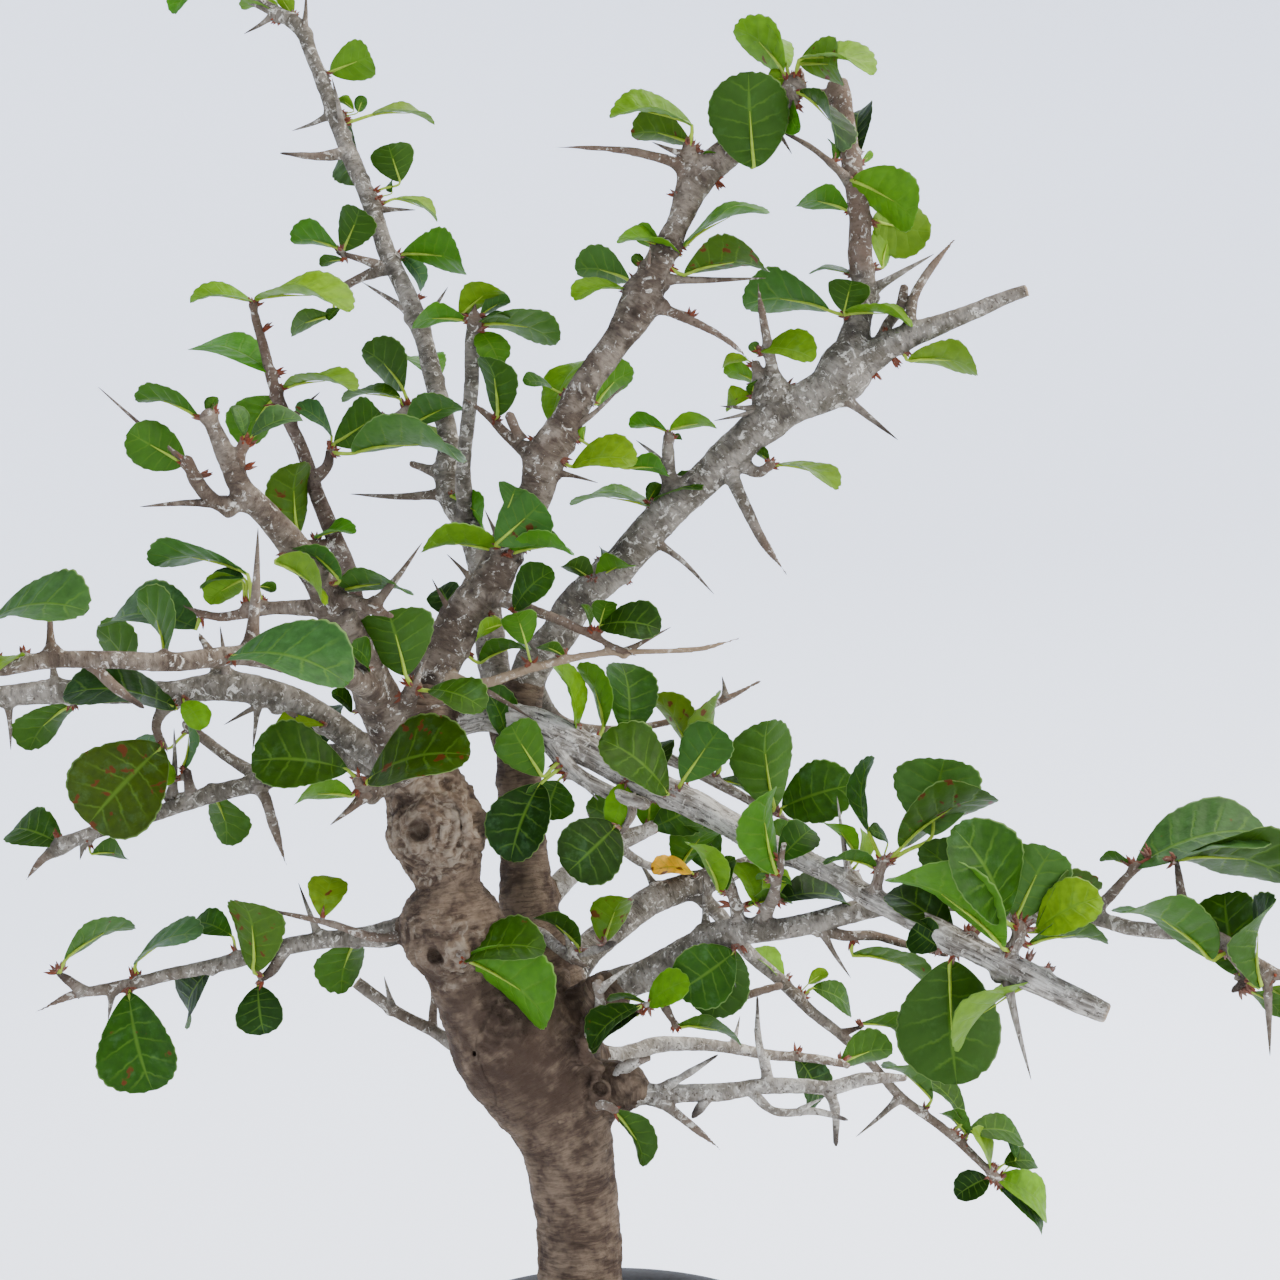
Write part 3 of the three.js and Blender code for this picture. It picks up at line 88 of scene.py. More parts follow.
BOUGHS = {
    "bough_left_near": {
        "wood": [
            [[-48, 198, -9, 5], [-52, 205, -17, 6.3], [-56, 215, -22, 6], [-62, 228, -28, 5.3],
             [-68, 240, -34, 4.6], [-73, 250, -38, 4.2], [-80, 259, -42, 3.7], [-87, 267, -46, 3.3],
             [-92, 272, -49, 3], [-96, 280, -52, 2.6], [-100, 289, -54, 2], [-101, 291, -55, 1.9]],
            [[-58, 221, -25, 3.6], [-66, 226, -40, 3], [-80, 229, -58, 2.7], [-95, 231, -74, 2.5],
             [-110, 229.5, -84, 2.5], [-125, 230, -90, 2.4], [-140, 230, -92, 2.3], [-153, 228, -93, 2.2],
             [-168, 227, -92, 1.6], [-180, 226, -90, 0.7]],
            [[-90, 270, -48, 2.4], [-98, 269, -50, 2], [-104, 275, -51, 1.9], [-106, 280, -52, 1.4]],
            [[-94, 277, -51, 1.8], [-92, 284, -52, 1.2]],
            [[-71, 243, -35, 2.4], [-85, 243, -32, 1.8], [-100, 241, -28, 1.2], [-107, 243.5, -26, 0.5]],
            [[-71, 244, -36, 2.2], [-67, 245, -39, 1.9], [-60, 243, -43, 1.7], [-55, 241, -46, 0.8]],
            [[-130, 229, -90, 1.5], [-124, 223, -92, 1.3], [-117, 218, -93, 0.6]],
            [[-52, 214, -20, 2.4], [-50.5, 221, -27, 2.2], [-49, 224, -29, 1]],
            [[-52, 200, -12, 3.2], [-60, 198, -21, 2.4], [-64, 200, -25, 1.2]],
        ],
        "thorns": [
            [-96, 268, -118, 268.3, 1.3, -4], [-118, 289, -128.5, 298.3, 0.9, 2],
            [-57, 248.5, -47.5, 259.3, 1.3, -3], [-90, 234, -88.5, 263, 2, -4],
            [-49, 224, -46, 231, 0.9, -3], [-49, 217, -41.5, 219, 0.9, -3],
            [-60, 194.5, -70.5, 188.7, 1.6, -4], [-140, 232, -141, 246, 1.3, 5],
        ],
        "leaves": [
            [-107, 279, -121, 287, 12], [-103, 290.5, -119, 295.5, 3.5], [-92, 286, -94.5, 293.5, 3],
            [-90, 286, -77.5, 290.5, 6.5], [-84, 254.5, -72, 245, 6, -6, -6],
            [-68, 250, -79, 258.5, 5, -6, -5], [-69, 247, -51, 247.5, 5, -8],
            [-91, 251.5, -115, 254.8, 4.5, 5], [-92, 250.5, -102.5, 248.5, 3.5, 3],
            [-92.5, 250, -101, 244.5, 7, 4], [-51.5, 226, -56, 242.5, 19, -6, -3],
            [-46, 222.5, -32, 218, 8, -5, -3], [-61, 228, -65, 233.5, 3, -8, -5],
            [-61, 200, -36, 207, 14, -10, -5], [-66, 202.5, -90, 205, 15, -8, -3],
            [-65, 196, -79, 195, 6, -8], [-104, 238, -126, 240, 11, 8], [-95, 231, -66, 225, 13, -8, -4],
            [-147, 231, -155, 227, 5, -8], [-155, 240, -131.5, 243, 12, -6], [-100, 291, -99.5, 296, 3],
            [-172, 228, -190, 236, 12, 4], [-160, 227, -172, 214, 11, -6], [-112, 230, -118, 246, 11, 10, 3],
            [-88, 248.5, -84, 247.5, 3], [-100, 291, -99.5, 294.5, 2], [-65, 217, -70, 222, 3],
        ],
        "buds": [[-51, 221], [-94, 277], [-104, 275], [-92, 283]],
        "tones": "mmppyppppydmmomyppypmmdmmmm",
    },
    "bough_top_centre": {
        "wood": [
            [[-47, 214, -6, 4.6], [-46.3, 220, -5, 5.6], [-45, 226, -5, 6], [-42, 232, -5, 5.6],
             [-36, 242, -5, 5.6], [-30, 250, -5, 5], [-25, 261, -5, 4.6], [-19, 272, -5, 4.4],
             [-17, 280, -5, 5], [-11, 290, -5, 4], [-6, 300, -5, 3.7], [0, 308, -5, 3.7], [7, 319, -5, 5],
             [12, 330, -6, 3.5], [17, 340, -6, 3.1], [21.5, 350, -7, 4], [29, 357, -8, 3.8],
             [36, 364, -8, 3.3], [43, 370, -9, 3], [47, 375, -9, 2.5]],
            [[-44, 227, -6, 2.2], [-34, 224, -12, 1.4], [-20, 228, -14, 1.2], [-4, 231.5, -15, 1],
             [15, 232.3, -16, 0.8], [22, 232.8, -16, 0.8], [32, 235.5, -16, 0.4]],
            [[-32, 247, -7, 2.6], [-20, 242.5, -11, 1.5], [-12, 239.5, -12, 1.3], [-5, 236, -13, 1],
             [6, 231, -19, 0.5]],
            [[-18, 280, -5, 2.6], [-26, 286, -2, 1.5], [-31, 291, 0, 1.1], [-37, 295.5, 2, 0.4]],
            [[-23, 285, -3, 1.4], [-26, 292, -5, 1.1]],
            [[20, 351, -8, 2.6], [19, 358.5, -9, 1.6]],
            [[17, 341, -6, 1.8], [17, 353, -9, 1.5], [8, 356.5, -11, 1.2], [-4, 358, -12, 0.8],
             [-14.5, 358.3, -12, 0.3]],
            [[9, 319, -5, 2], [16, 316.5, -9, 1.3], [30, 309, -12, 0.9], [34.5, 305, -13, 0.3]],
        ],
        "thorns": [
            [-35.5, 249.5, -41.3, 256.5, 0.9, -4], [-41, 241, -45, 250.3, 0.9, -4],
            [-9.5, 282.5, 3.2, 298.8, 1.1, -6], [-12, 276, -3.5, 274.3, 0.9, -2],
            [6, 322, 9.6, 333.5, 1.2, -6], [17, 322, 38.5, 325.5, 1.3, -4], [13, 318.5, 20.5, 316.5, 1, 4],
            [17, 355.5, 10, 359.5, 1, -3], [41, 363, 45, 356.5, 1, -3], [-33, 260, -31.8, 267.5, 0.8, -3],
            [-36, 224, -19.5, 215, 1, -6], [3, 229, 14.7, 238.2, 0.8, -2],
        ],
        "leaves": [
            [20, 363.8, -0.5, 366.5, 8.5, -3, -4], [20, 359, 5, 362, 5, 4], [35.5, 353, 34, 377, 20, -5, -7],
            [43, 377, 31, 388.5, 6, 3], [44, 378, 37, 388, 5, 7], [47, 380.5, 65.5, 377, 9, -7, -3],
            [47, 379, 57, 378, 7, -12], [47, 372, 57, 358, 6, -8, -3], [45, 370, 46.5, 362, 3.5, -3],
            [17.5, 333.5, 39, 342.5, 5, -6], [17, 331.5, 1.5, 334.8, 4, -4], [12, 333, 5.5, 337, 4, 4],
            [18, 326.5, 38.5, 328.5, 4.8, -9, -2], [4.5, 325, -9, 328, 7, 6, 2],
            [3, 323, -9.5, 320.5, 6, -6], [-15, 289, -7, 305.5, 9, 8, 4], [-4, 294, 5, 302.5, 7, 7, 4],
            [-28.5, 291, -31.5, 306, 9, -7, -2], [-15, 298, -22, 299.5, 4, -5],
            [-10, 278.5, 6, 280, 9, -6, -4], [4, 278, 14, 277, 4, -5], [-29, 259, -17.5, 269.5, 14, -4, -7],
            [-26, 268, -24, 273.5, 9, -4, -6], [-27, 256.5, -47.5, 258, 5, -6, -2],
            [-26, 256.5, -10, 257, 3.5, -5, -3], [-24.5, 242.5, -15, 252.5, 9, -4, -2],
            [-21.5, 234, -24, 242, 9, -5, -2], [-27, 239, -34, 236, 4, -6, -5],
            [-33, 229.5, -21, 233, 3, -5], [-12, 231, -18.5, 233.5, 3, -4], [-39, 241, -43, 248.5, 9, 5, 5],
            [-3, 238.5, 12, 238, 9.5, -6], [-3, 239, -1, 245, 6, -5], [45, 375, 39, 376, 5],
            [23, 354, 26, 357, 2], [8, 328.5, 5, 331, 3], [-7, 285, -7, 288.5, 2], [-22, 258.5, -12, 259, 4],
            [-5.5, 238.5, -7.5, 244, 2],
        ],
        "buds": [
            [-18, 284], [21, 319], [24, 352], [17.5, 345.5], [20, 357], [44, 366], [39, 356], [45, 370],
            [42, 362], [46, 374],
        ],
        "tones": "yodyyysdbbyyopyybdmybppybmbymmddmymmymm",
    },
    "bough_top_right": {
        "wood": [
            [[-23.5, 215, 17, 3.6], [-22.2, 222, 17, 4.4], [-19, 230, 17, 4.8], [-13, 237, 16, 4.6],
             [-10, 243, 16, 4.6], [-5, 248, 15, 4.5], [2, 254, 14, 4.5], [10, 263, 13, 4.5],
             [17, 270, 12, 4.4], [24, 276, 11, 4.4], [31, 283, 10, 4.5], [38, 289, 9, 5], [46, 294, 8, 4.5],
             [54, 298, 7, 5.5], [58, 302, 7, 7], [60, 308, 7, 4.4], [61.5, 315, 7, 3.5], [63, 322, 7, 3],
             [62, 332, 6, 3.1], [62, 341, 6, 2.7], [61, 348, 5, 2.7], [59.5, 356, 5, 2.5],
             [58.5, 364, 4, 2.4], [57, 370, 4, 3.1], [56.3, 375, 4, 2.6]],
            [[58, 302, 7, 4.5], [64, 305, 5, 3.8], [70, 309, 3, 3.3], [77, 312, 1, 3], [85, 315, -1, 2.4],
             [90, 317, -2, 2.2], [100, 321.2, -4, 1.8], [104, 322.5, -5, 1.6]],
            [[57, 371, 4, 1.8], [50, 372, 10, 1.6], [47, 377, 12, 1.2]],
            [[40, 290, 9, 4.2], [40, 297, 8, 4.6], [37.5, 299, 7, 2], [36, 304, 6, 1.2]],
            [[66, 306, 4, 1.8], [69, 314, 6, 1.5], [72, 318, 7, 1.5], [73, 323, 7, 1.2]],
            [[74, 311, 2, 1.8], [76, 322, 5, 1.3], [79, 327, 6, 1.2], [85.5, 335, 7, 0.5]],
            [[60, 349, 5, 1.4], [55, 354, 1, 1], [50, 358, 1, 0.8], [43, 362, 3, 0.5]],
            [[15, 268, 12, 2.4], [14, 282, 9, 1.7], [14, 286, 8, 1.2]],
            [[31, 280, 10, 2], [37, 277, 7, 1.5], [40, 279, 5, 0.9]],
            [[28, 280, 10, 2.2], [34, 267, 5, 1.6], [37, 261, 3, 1.3], [44.2, 250.7, 1, 0.3]],
            [[41, 297, 8, 2.2], [39.5, 306, 4, 1.5], [38, 314, 2, 1.2], [36.3, 324.5, 1, 0.3]],
            [[-20.5, 226, 17, 2.2], [-13, 215, 26, 1.5], [5, 213, 35, 1], [19, 216, 36, 1],
             [28, 220, 37, 0.9], [37, 224.7, 38, 0.5]],
        ],
        "thorns": [
            [64, 321, 80.5, 331.5, 1.4, -5], [59, 294, 71.5, 285, 1.5, -6], [40, 292.5, 27, 293.5, 1.1, -4],
            [36, 294, 25.5, 289.8, 0.9, -5], [12, 258, 25.5, 246.5, 1.1, -6], [12, 277, 6, 285, 1, 5],
            [28, 221, 27.5, 226, 0.8, 2],
        ],
        "leaves": [
            [60, 350, 76, 340, 9.5, -7, -4], [65, 340, 79.5, 337, 14, 5], [67.5, 328, 71, 338, 7, 5],
            [59, 342.5, 46.5, 344.5, 3.5, -5], [60, 326.5, 49.5, 327, 3, 4],
            [54.5, 317.5, 33, 319.5, 7, 8, 2], [58, 317, 60, 325, 10.5, -5, -5],
            [58, 316.5, 75, 314, 3, -7, -3], [74, 305, 91.5, 302.5, 4.5, -6], [62, 357, 62, 368, 9, 7, 3],
            [55.5, 355, 54.5, 360, 3, 3], [37.5, 307.5, 50.5, 305.5, 9, -8], [34, 305, 27.5, 303.5, 3.5, 3],
            [36.5, 299, 28, 302.5, 3.5, 5], [35, 296, 28.5, 294, 6, 6], [14, 287, 4.5, 288.7, 2.5, 5],
            [14.5, 287.5, 26, 288.7, 3, -4], [10.5, 269.5, 22.5, 273.3, 4, -7],
            [11, 267.8, -10, 269.5, 3, 6], [41.5, 279, 56.5, 273.2, 5, -6], [-4, 250, 4.5, 254, 5, -7, -3],
            [-5, 250, -12, 254, 5, -5, -3], [-2, 253, -2.5, 258, 3, 4], [69, 311, 74, 312, 2],
            [62.5, 354.5, 65.2, 356, 1.5], [36.5, 306.5, 35, 309.5, 3], [35, 296, 36, 300, 2],
            [15, 285.5, 17.5, 285.5, 2], [9, 269.5, 12, 274.3, 4], [39.5, 279.5, 36, 282, 2],
            [1, 253, 1.5, 257, 3],
        ],
        "buds": [[11, 267.8], [66, 301], [72, 303], [44, 298], [40, 299]],
        "tones": "yyybmpdyydmyyyybymbybdmmypmmmmm",
    },
    "bough_top_left": {
        "wood": [
            [[-26.5, 216, 20, 3], [-28.3, 222, 22, 3.7], [-29.5, 228, 24, 4], [-31, 240, 27, 3.7],
             [-33, 255, 30, 3.5], [-36, 264, 32, 3.4], [-40, 270, 33, 3.2], [-41, 278, 34, 3.3],
             [-41, 286, 35, 2.6], [-43, 294, 36, 2.6], [-45, 302, 37, 2.5], [-47, 310, 38, 2.4],
             [-49, 316, 39, 2.6], [-53, 325, 40, 2.4], [-56, 331, 41, 2.3], [-59, 340, 42, 2.2],
             [-62, 348, 43, 2.1], [-65, 355, 44, 2.3], [-68, 362, 45, 2], [-71, 371, 46, 2],
             [-75, 381, 47, 1.8], [-78, 388, 48, 2], [-84, 392, 48, 1.6], [-92, 396, 49, 1.4],
             [-100, 400, 50, 1.1], [-112, 404, 51, 0.6]],
            [[-36, 266, 31, 2.4], [-37, 272, 24, 2.2], [-37, 280, 19, 1.9], [-36, 290, 15, 1.9],
             [-35, 300, 12, 1.9], [-35, 310, 10, 1.9], [-34, 321.5, 9, 0.3]],
            [[-43, 293, 36, 1.8], [-50, 292, 34, 1.6], [-58, 289, 33, 1]],
            [[-41, 276, 34, 1.8], [-50, 279, 36, 1]],
            [[-56, 328, 41, 1.5], [-63, 325.5, 43, 1.2], [-70, 321.5, 45, 0.7]],
            [[-56, 328, 41, 1.4], [-62, 330, 38, 1], [-69, 332, 36, 0.6]],
            [[-66, 357, 44, 1.6], [-72, 356, 42, 1.2], [-83, 356.7, 40, 0.3]],
        ],
        "thorns": [
            [-42, 271.5, -65.5, 271.5, 1.4, 3], [-38.5, 284, -50, 288.5, 1, -4],
            [-46.5, 314.5, -41, 323.3, 1, -3], [-50, 315.5, -62.5, 324.5, 1.1, 3],
            [-67, 361, -70, 375.5, 1, -5], [-72, 366, -80, 362.3, 0.9, 3], [-85, 390, -92, 386.5, 0.9, 3],
            [-77, 386, -76.5, 398, 0.9, -3], [-56, 344, -49, 342.5, 0.9, -2],
        ],
        "leaves": [
            [-38, 316, -28, 323, 5, -6], [-37, 315, -50, 314, 3, -5], [-33, 314, -13.5, 310, 5, 8],
            [-33, 312, -28, 304, 8, -5], [-51, 288, -37, 293.5, 5.5, -8, -4], [-50, 287, -41, 283.5, 5, 5],
            [-53, 295.5, -67, 295, 3, 4], [-52, 297.5, -62, 308, 10, 6], [-40, 271, -32, 264, 6, -8, -4],
            [-68, 332.5, -80, 335, 3.5, 5], [-67.5, 332, -63, 343, 10, -6], [-70, 316, -80.5, 312, 3, -4],
            [-52.5, 331.5, -37, 329, 8, -7], [-53, 331, -47, 323, 5, 6], [-53, 349.5, -56, 359, 11, -5],
            [-54, 345.5, -43.5, 340, 3, 4], [-70.5, 377, -60, 381, 9, -6],
            [-60, 366.5, -44.5, 364.5, 4.5, 6], [-83, 391, -92, 393, 3.5, 5], [-80, 391, -84, 397, 4, -4],
            [-98, 400, -110, 392, 9, -5], [-108, 404, -118, 412, 9, 6], [-44, 300, -52, 306, 8, 14, 4],
            [-62, 350, -66, 362, 9, 13, 4], [-33, 316, -25.5, 320, 3], [-34, 314, -25.5, 315.7, 2],
            [-57, 291, -62, 292, 3], [-67, 330, -73, 328.8, 1.5], [-68, 318, -71, 315, 3],
            [-55, 347, -55, 350, 2.5], [-63.5, 367, -62, 371, 3], [-64.5, 367.5, -68.5, 370.5, 2],
        ],
        "buds": [[-52, 295], [-63, 366], [-55, 346], [-47, 321]],
        "tones": "ybpbpymdbbdmbpdyyyyybybmppmmmmmy",
    },
    "bough_left_slender": {
        "wood": [
            [[-49, 210, -2, 2.8], [-54, 217, 4, 3], [-58, 224, 7, 2.9], [-61, 232, 8, 2.8],
             [-64, 242, 8, 2.6], [-66, 252, 8, 2.4], [-70, 262, 8, 2.2], [-74, 272, 8, 2],
             [-78, 284, 8, 1.7], [-82, 292, 8, 1.6], [-85, 300, 8, 1.5], [-87, 308, 8, 1.3],
             [-89, 315, 8, 1.2], [-90, 319, 8, 0.8]],
            [[-75, 275, 8, 1.5], [-71, 279, 6, 1.4], [-70.5, 283, 5, 0.9]],
            [[-68, 259, 8, 1.3], [-81, 259.5, 4, 0.6]],
        ],
        "thorns": [[-63, 240, -70, 247, 0.9, 5], [-80, 290, -73, 297, 0.9, -4]],
        "leaves": [
            [-89.5, 319.5, -105.5, 320, 5.5, -5], [-89, 320, -65.5, 318, 7.5, -7],
            [-85, 301.5, -104, 309, 9, 6], [-82, 298, -64.5, 298, 3, -7],
            [-78.5, 261, -78.5, 279.5, 9, -5, -3], [-74, 260.5, -64.5, 262, 3, -5],
            [-65, 281.8, -38, 280.8, 5, -11, -3], [-69.5, 284, -58, 292, 13, -6],
            [-70, 286, -79, 293.5, 4, -6], [-84, 296, -92, 284, 9, 9, 3],
        ],
        "buds": [[-88, 312], [-83, 294]],
        "tones": "yybyobpmpb",
    },
    "bough_left_level": {
        "wood": [
            [[-50, 200, -8, 3.2], [-58, 205.5, -8, 3.8], [-65, 210, -9, 3.5], [-73, 216, -11, 3.3],
             [-82, 220.5, -13, 3.6], [-95, 223.5, -15, 3.8], [-110, 222, -17, 3], [-125, 222, -19, 3],
             [-140, 222, -20, 3.1], [-153, 221, -21, 2.7], [-166, 220, -22, 2.2], [-178, 218, -23, 1.2]],
            [[-82, 219, -13, 1.6], [-77, 212, -16, 1]],
            [[-110, 221, -17, 2], [-114, 213, -20, 1.3], [-112.5, 209, -21, 1.1]],
            [[-98, 224, -15, 1.8], [-100, 231, -12, 1.4], [-103, 236, -10, 0.8]],
        ],
        "thorns": [
            [-84, 218, -97, 213.8, 1.1, -5], [-89, 218, -89.8, 207.5, 1, -3],
            [-96, 226, -98, 238.5, 1.2, -4], [-151, 219, -150.3, 207.5, 1, 3],
            [-139, 225, -139.8, 240, 1, 4],
        ],
        "leaves": [
            [-109, 218, -137, 222, 9, -8, -4], [-107, 219.5, -102, 213, 6, -3, -4],
            [-112.5, 208.5, -131, 189, 24, -5, -2], [-135, 219, -146, 208, 6.5, 6],
            [-72, 214, -84, 212, 5, -5, -3], [-172, 219, -188, 224, 13, 6], [-164, 220, -176, 206, 12, -6],
            [-120, 222, -128, 238, 12, 9, 3], [-107, 219.5, -102, 225, 6],
        ],
        "buds": [[-76, 211]],
        "tones": "dyomymdmy",
    },
    "bough_left_middle": {
        "wood": [
            [[-48, 197, -2, 3.6], [-56, 202.5, 3, 4.2], [-62, 205, 4, 3.5], [-72, 206, 4, 2.8],
             [-82, 202, 4, 2.4], [-90, 199, 3, 2.3], [-100, 196.5, 3, 2.3], [-110, 193, 2, 2],
             [-121, 189.5, 2, 1.9], [-132, 186, 1, 1.8], [-138, 183.3, 1, 2.2], [-142, 180.5, 0, 1.2],
             [-147, 174.5, 0, 0.3]],
            [[-86, 200, 4, 1.9], [-95, 205, 7, 1.5], [-101, 209.5, 9, 1.4], [-106.5, 214, 10, 1.2]],
            [[-104, 195.5, 3, 1.6], [-112, 195.5, 5, 1.2]],
            [[-89, 199, 3, 1.8], [-86.5, 195, 0, 1.5], [-85, 190, -1, 1.4], [-81, 177.3, -2, 0.3]],
            [[-105, 195, 3, 1.5], [-106.5, 203, 1, 1]],
        ],
        "thorns": [[-110, 197, -109.5, 213, 1.2, -4], [-131, 184, -133, 180, 1, -3]],
        "leaves": [
            [-130, 181.5, -121.5, 181, 5.5, -3], [-107, 203, -107, 217, 4, -4],
            [-109, 200, -119, 204, 8, -7], [-124, 190, -136, 199, 12, 9], [-100, 197, -96, 184, 11, 8, 3],
            [-74, 206, -70, 219, 11, 9, 3], [-138, 184, -150, 188, 9, 6], [-109, 201, -112.5, 204, 2],
            [-111, 208, -122, 208.5, 2],
        ],
        "buds": [],
        "tones": "dpymmdmyp",
    },
    "bough_left_low": {
        "wood": [
            [[-42, 165, -4, 4.2], [-50, 163, -4, 3.9], [-56, 161.5, -4, 3.3], [-64, 160.7, -4, 2.4],
             [-72, 160, -4, 2.2], [-80, 158.7, -4, 2.2], [-90, 156, -5, 2], [-100, 153.5, -5, 1.9],
             [-110, 151.5, -6, 1.7], [-120, 149, -6, 1.6], [-128, 147.5, -6, 1.5], [-134, 146.5, -6, 1.2],
             [-144, 142, -6, 0.3]],
            [[-50, 162, -4, 1.6], [-58, 160.5, -10, 1.2], [-70, 164, -11, 0.9], [-87.3, 167.8, -12, 0.3]],
            [[-82, 158, -4, 1.7], [-85, 152.5, -6, 1.5], [-88, 150, -7, 1]],
            [[-132, 146.8, -6, 1.4], [-136, 150, -7, 1.2], [-139, 152, -8, 0.7]],
        ],
        "thorns": [[-73, 161, -78.4, 174.3, 1, 3], [-125, 148, -126, 140, 1, 3]],
        "leaves": [
            [-72.5, 165.5, -70, 176, 10, 5], [-89.5, 152, -92, 170, 14.5, -7, -3],
            [-95, 161, -105, 164.5, 6, 5], [-119.5, 154, -103, 162, 4, -5],
            [-120.8, 147, -115, 122.3, 19.5, -4, -2], [-88.5, 148.5, -87, 136.5, 12, -4],
            [-137, 155, -119.5, 164, 5.5, 6], [-64, 160, -68, 147, 10, 8, 2],
            [-100, 153, -106, 141, 10, 9, 2],
        ],
        "buds": [[-120, 152], [-139, 152]],
        "tones": "sompmdpmd",
    },
    "twig_left_bare": {
        "wood": [
            [[-28, 132, 6, 2.2], [-38, 133, 12, 1.9], [-45, 137.5, 15, 1.6], [-52, 141, 16, 1.5],
             [-60, 146.5, 17, 1.6], [-64, 149.5, 17, 1.6]],
            [[-45, 137.5, 15, 1.2], [-44.5, 146, 18, 0.9], [-44, 153, 20, 0.4]],
        ],
        "thorns": [[-55, 143, -57, 151, 0.8, -3]],
        "leaves": [],
        "buds": [],
        "tones": "",
    },
    "bough_right": {
        "wood": [
            [[-46, 213, -4, 3.8], [-38, 215.5, -1, 4.3], [-33, 216.5, 0, 4.2], [-24, 215, 0, 4.2],
             [-15, 212, 0, 4.2], [-8, 208.5, 0, 4], [0, 204, 0, 3.8], [8, 200, -1, 3.6],
             [15, 196.5, -2, 3.5], [22, 193, -4, 3.5], [30, 188.5, -6, 3.3], [38, 184, -9, 3.2],
             [48, 180, -14, 2.8], [56, 176, -19, 2.6], [64, 171, -25, 2.6], [74, 166, -33, 2.8],
             [84, 161, -40, 3], [94, 156, -45, 3], [104, 151, -49, 3.3], [114, 146, -52, 3],
             [124, 141.5, -55, 2.7]],
            [[-17, 211, 0, 2.4], [-10, 202.5, -4, 1.9], [-1, 197, -5, 1.8], [8, 194, -6, 1.6]],
            [[4, 196, -5, 1.4], [5, 193, -6, 1.1], [0.5, 184.5, -8, 0.7]],
            [[-4, 206, 1, 2], [6, 208, 10, 1.6], [17, 204, 14, 1.5], [26, 199.5, 15, 1.4],
             [35, 194.5, 15, 1.2], [44, 190, 15, 0.5]],
            [[65, 170, -26, 1.8], [66.5, 175, -28, 1.4], [68, 180, -29, 0.9]],
            [[98, 154, -47, 2], [101, 160, -49, 1.6], [102, 164, -50, 1.1]],
        ],
        "thorns": [
            [61, 176, 56.2, 196, 1, 3], [97, 152, 104.8, 125, 1.4, -5], [-13, 200, -3.5, 195, 0.9, -4],
        ],
        "leaves": [
            [14, 196.5, -2.5, 210.5, 12.5, -6, -6], [12, 202, 13, 210, 7, 7, 3],
            [4, 211, 2.5, 229.5, 13, 6, 4], [-2, 213, -8, 229, 6, 4, 3], [-9, 212, -14, 229, 4, -4],
            [19.5, 206, 10.5, 221, 7, 4, 2], [27, 203, 26.3, 222, 6, -5, -2],
            [17.5, 199.5, 27, 213, 13, -3, -5], [40.5, 193, 38.5, 215, 16, -4, -3],
            [42.5, 193, 60.5, 199, 14, -8, -3], [26, 200, 36, 196.5, 4, 5, 3], [3, 199, 0, 188.5, 8, -4, -3],
            [-17.5, 201, -25.5, 214, 12, -5, -7], [-13.5, 199.8, -17, 190.5, 12.5, -4, -3],
            [-18, 199, -25.5, 180, 15, -8, -7], [1, 188.5, -11, 177, 17, -6, -2],
            [-26.5, 209, -33, 224, 6, -5, -3], [61, 181.5, 53.8, 189.5, 4, -4], [62, 180, 63, 187.5, 5, 5],
            [66, 178, 53.5, 179.5, 4, -5], [72, 183, 95.5, 196.5, 13, -8], [80, 186, 83, 205.5, 22, -4],
            [98, 165, 86, 188, 19, -8, -4], [101, 165, 110, 183, 17, -3], [106, 163, 122, 173.5, 7, 5],
            [106, 162, 122, 171, 10, -7], [104, 159, 124, 160, 7, -4], [98, 158, 70, 176, 12, -5, -5],
            [85, 160, 69, 172, 10, 6, 3], [92, 165, 78, 184, 12, 6, 2], [84.5, 155, 86, 124.3, 27, 3],
            [107.5, 150, 86, 133, 7, 6], [10, 196, 3, 194, 5], [64, 187, 64.5, 206, 3],
            [69, 184.5, 64.5, 187.5, 3], [82, 158, 75, 163, 10],
        ],
        "buds": [[16, 196], [102, 163], [104, 155], [92, 168]],
        "tones": "mdmyysspmmdymmddmyymopmpoydbdddymmmd",
    },
    "bough_right_low": {
        "wood": [
            [[-7, 144, 0, 3.6], [0, 148, -1, 4.4], [8, 151, -3, 4], [18, 157, -6, 3.6], [26, 161, -8, 3.6],
             [32, 162, -10, 3.4], [40, 162.5, -13, 2.8], [50, 164.3, -13, 2.7], [58, 166.5, -13, 2.8],
             [64, 168, -14, 2.8], [72, 169.5, -17, 2.7], [80, 170, -21, 2.5], [92, 168.5, -27, 2.4],
             [106, 166, -34, 2.2], [118, 166, -38, 2], [130, 163, -44, 2], [140, 162, -50, 2],
             [146, 162, -54, 2.3], [152, 160, -57, 2], [158, 156, -60, 1.8], [168, 151, -62, 1.3],
             [178, 148, -62, 0.6]],
            [[118, 165.5, -38, 1.8], [124, 170.5, -40, 1.5], [130, 177, -43, 1.2], [136, 181, -45, 0.6]],
            [[145, 162, -54, 1.7], [143, 168, -53, 1.5], [142, 174, -52, 1.1], [141, 181, -52, 0.5]],
            [[152, 160, -57, 1.3], [158, 150, -61, 1.1], [155, 147, -62, 0.8]],
            [[50, 164, -13, 1.7], [57, 161.3, -11, 1.4], [66, 161, -9, 1.2], [73, 159, -8, 1],
             [84, 156, -7, 0.5]],
            [[11, 152, -4, 1.8], [13, 144, -6, 1.4], [16, 138.5, -8, 0.8]],
            [[32, 162, -10, 2], [31, 168, -12, 1.7], [30, 173, -13, 1.3], [24.7, 184.3, -14, 0.3]],
            [[36, 162.5, -11, 2], [40, 170, -16, 1.6], [41.5, 176, -20, 1.3], [43, 184, -22, 0.8]],
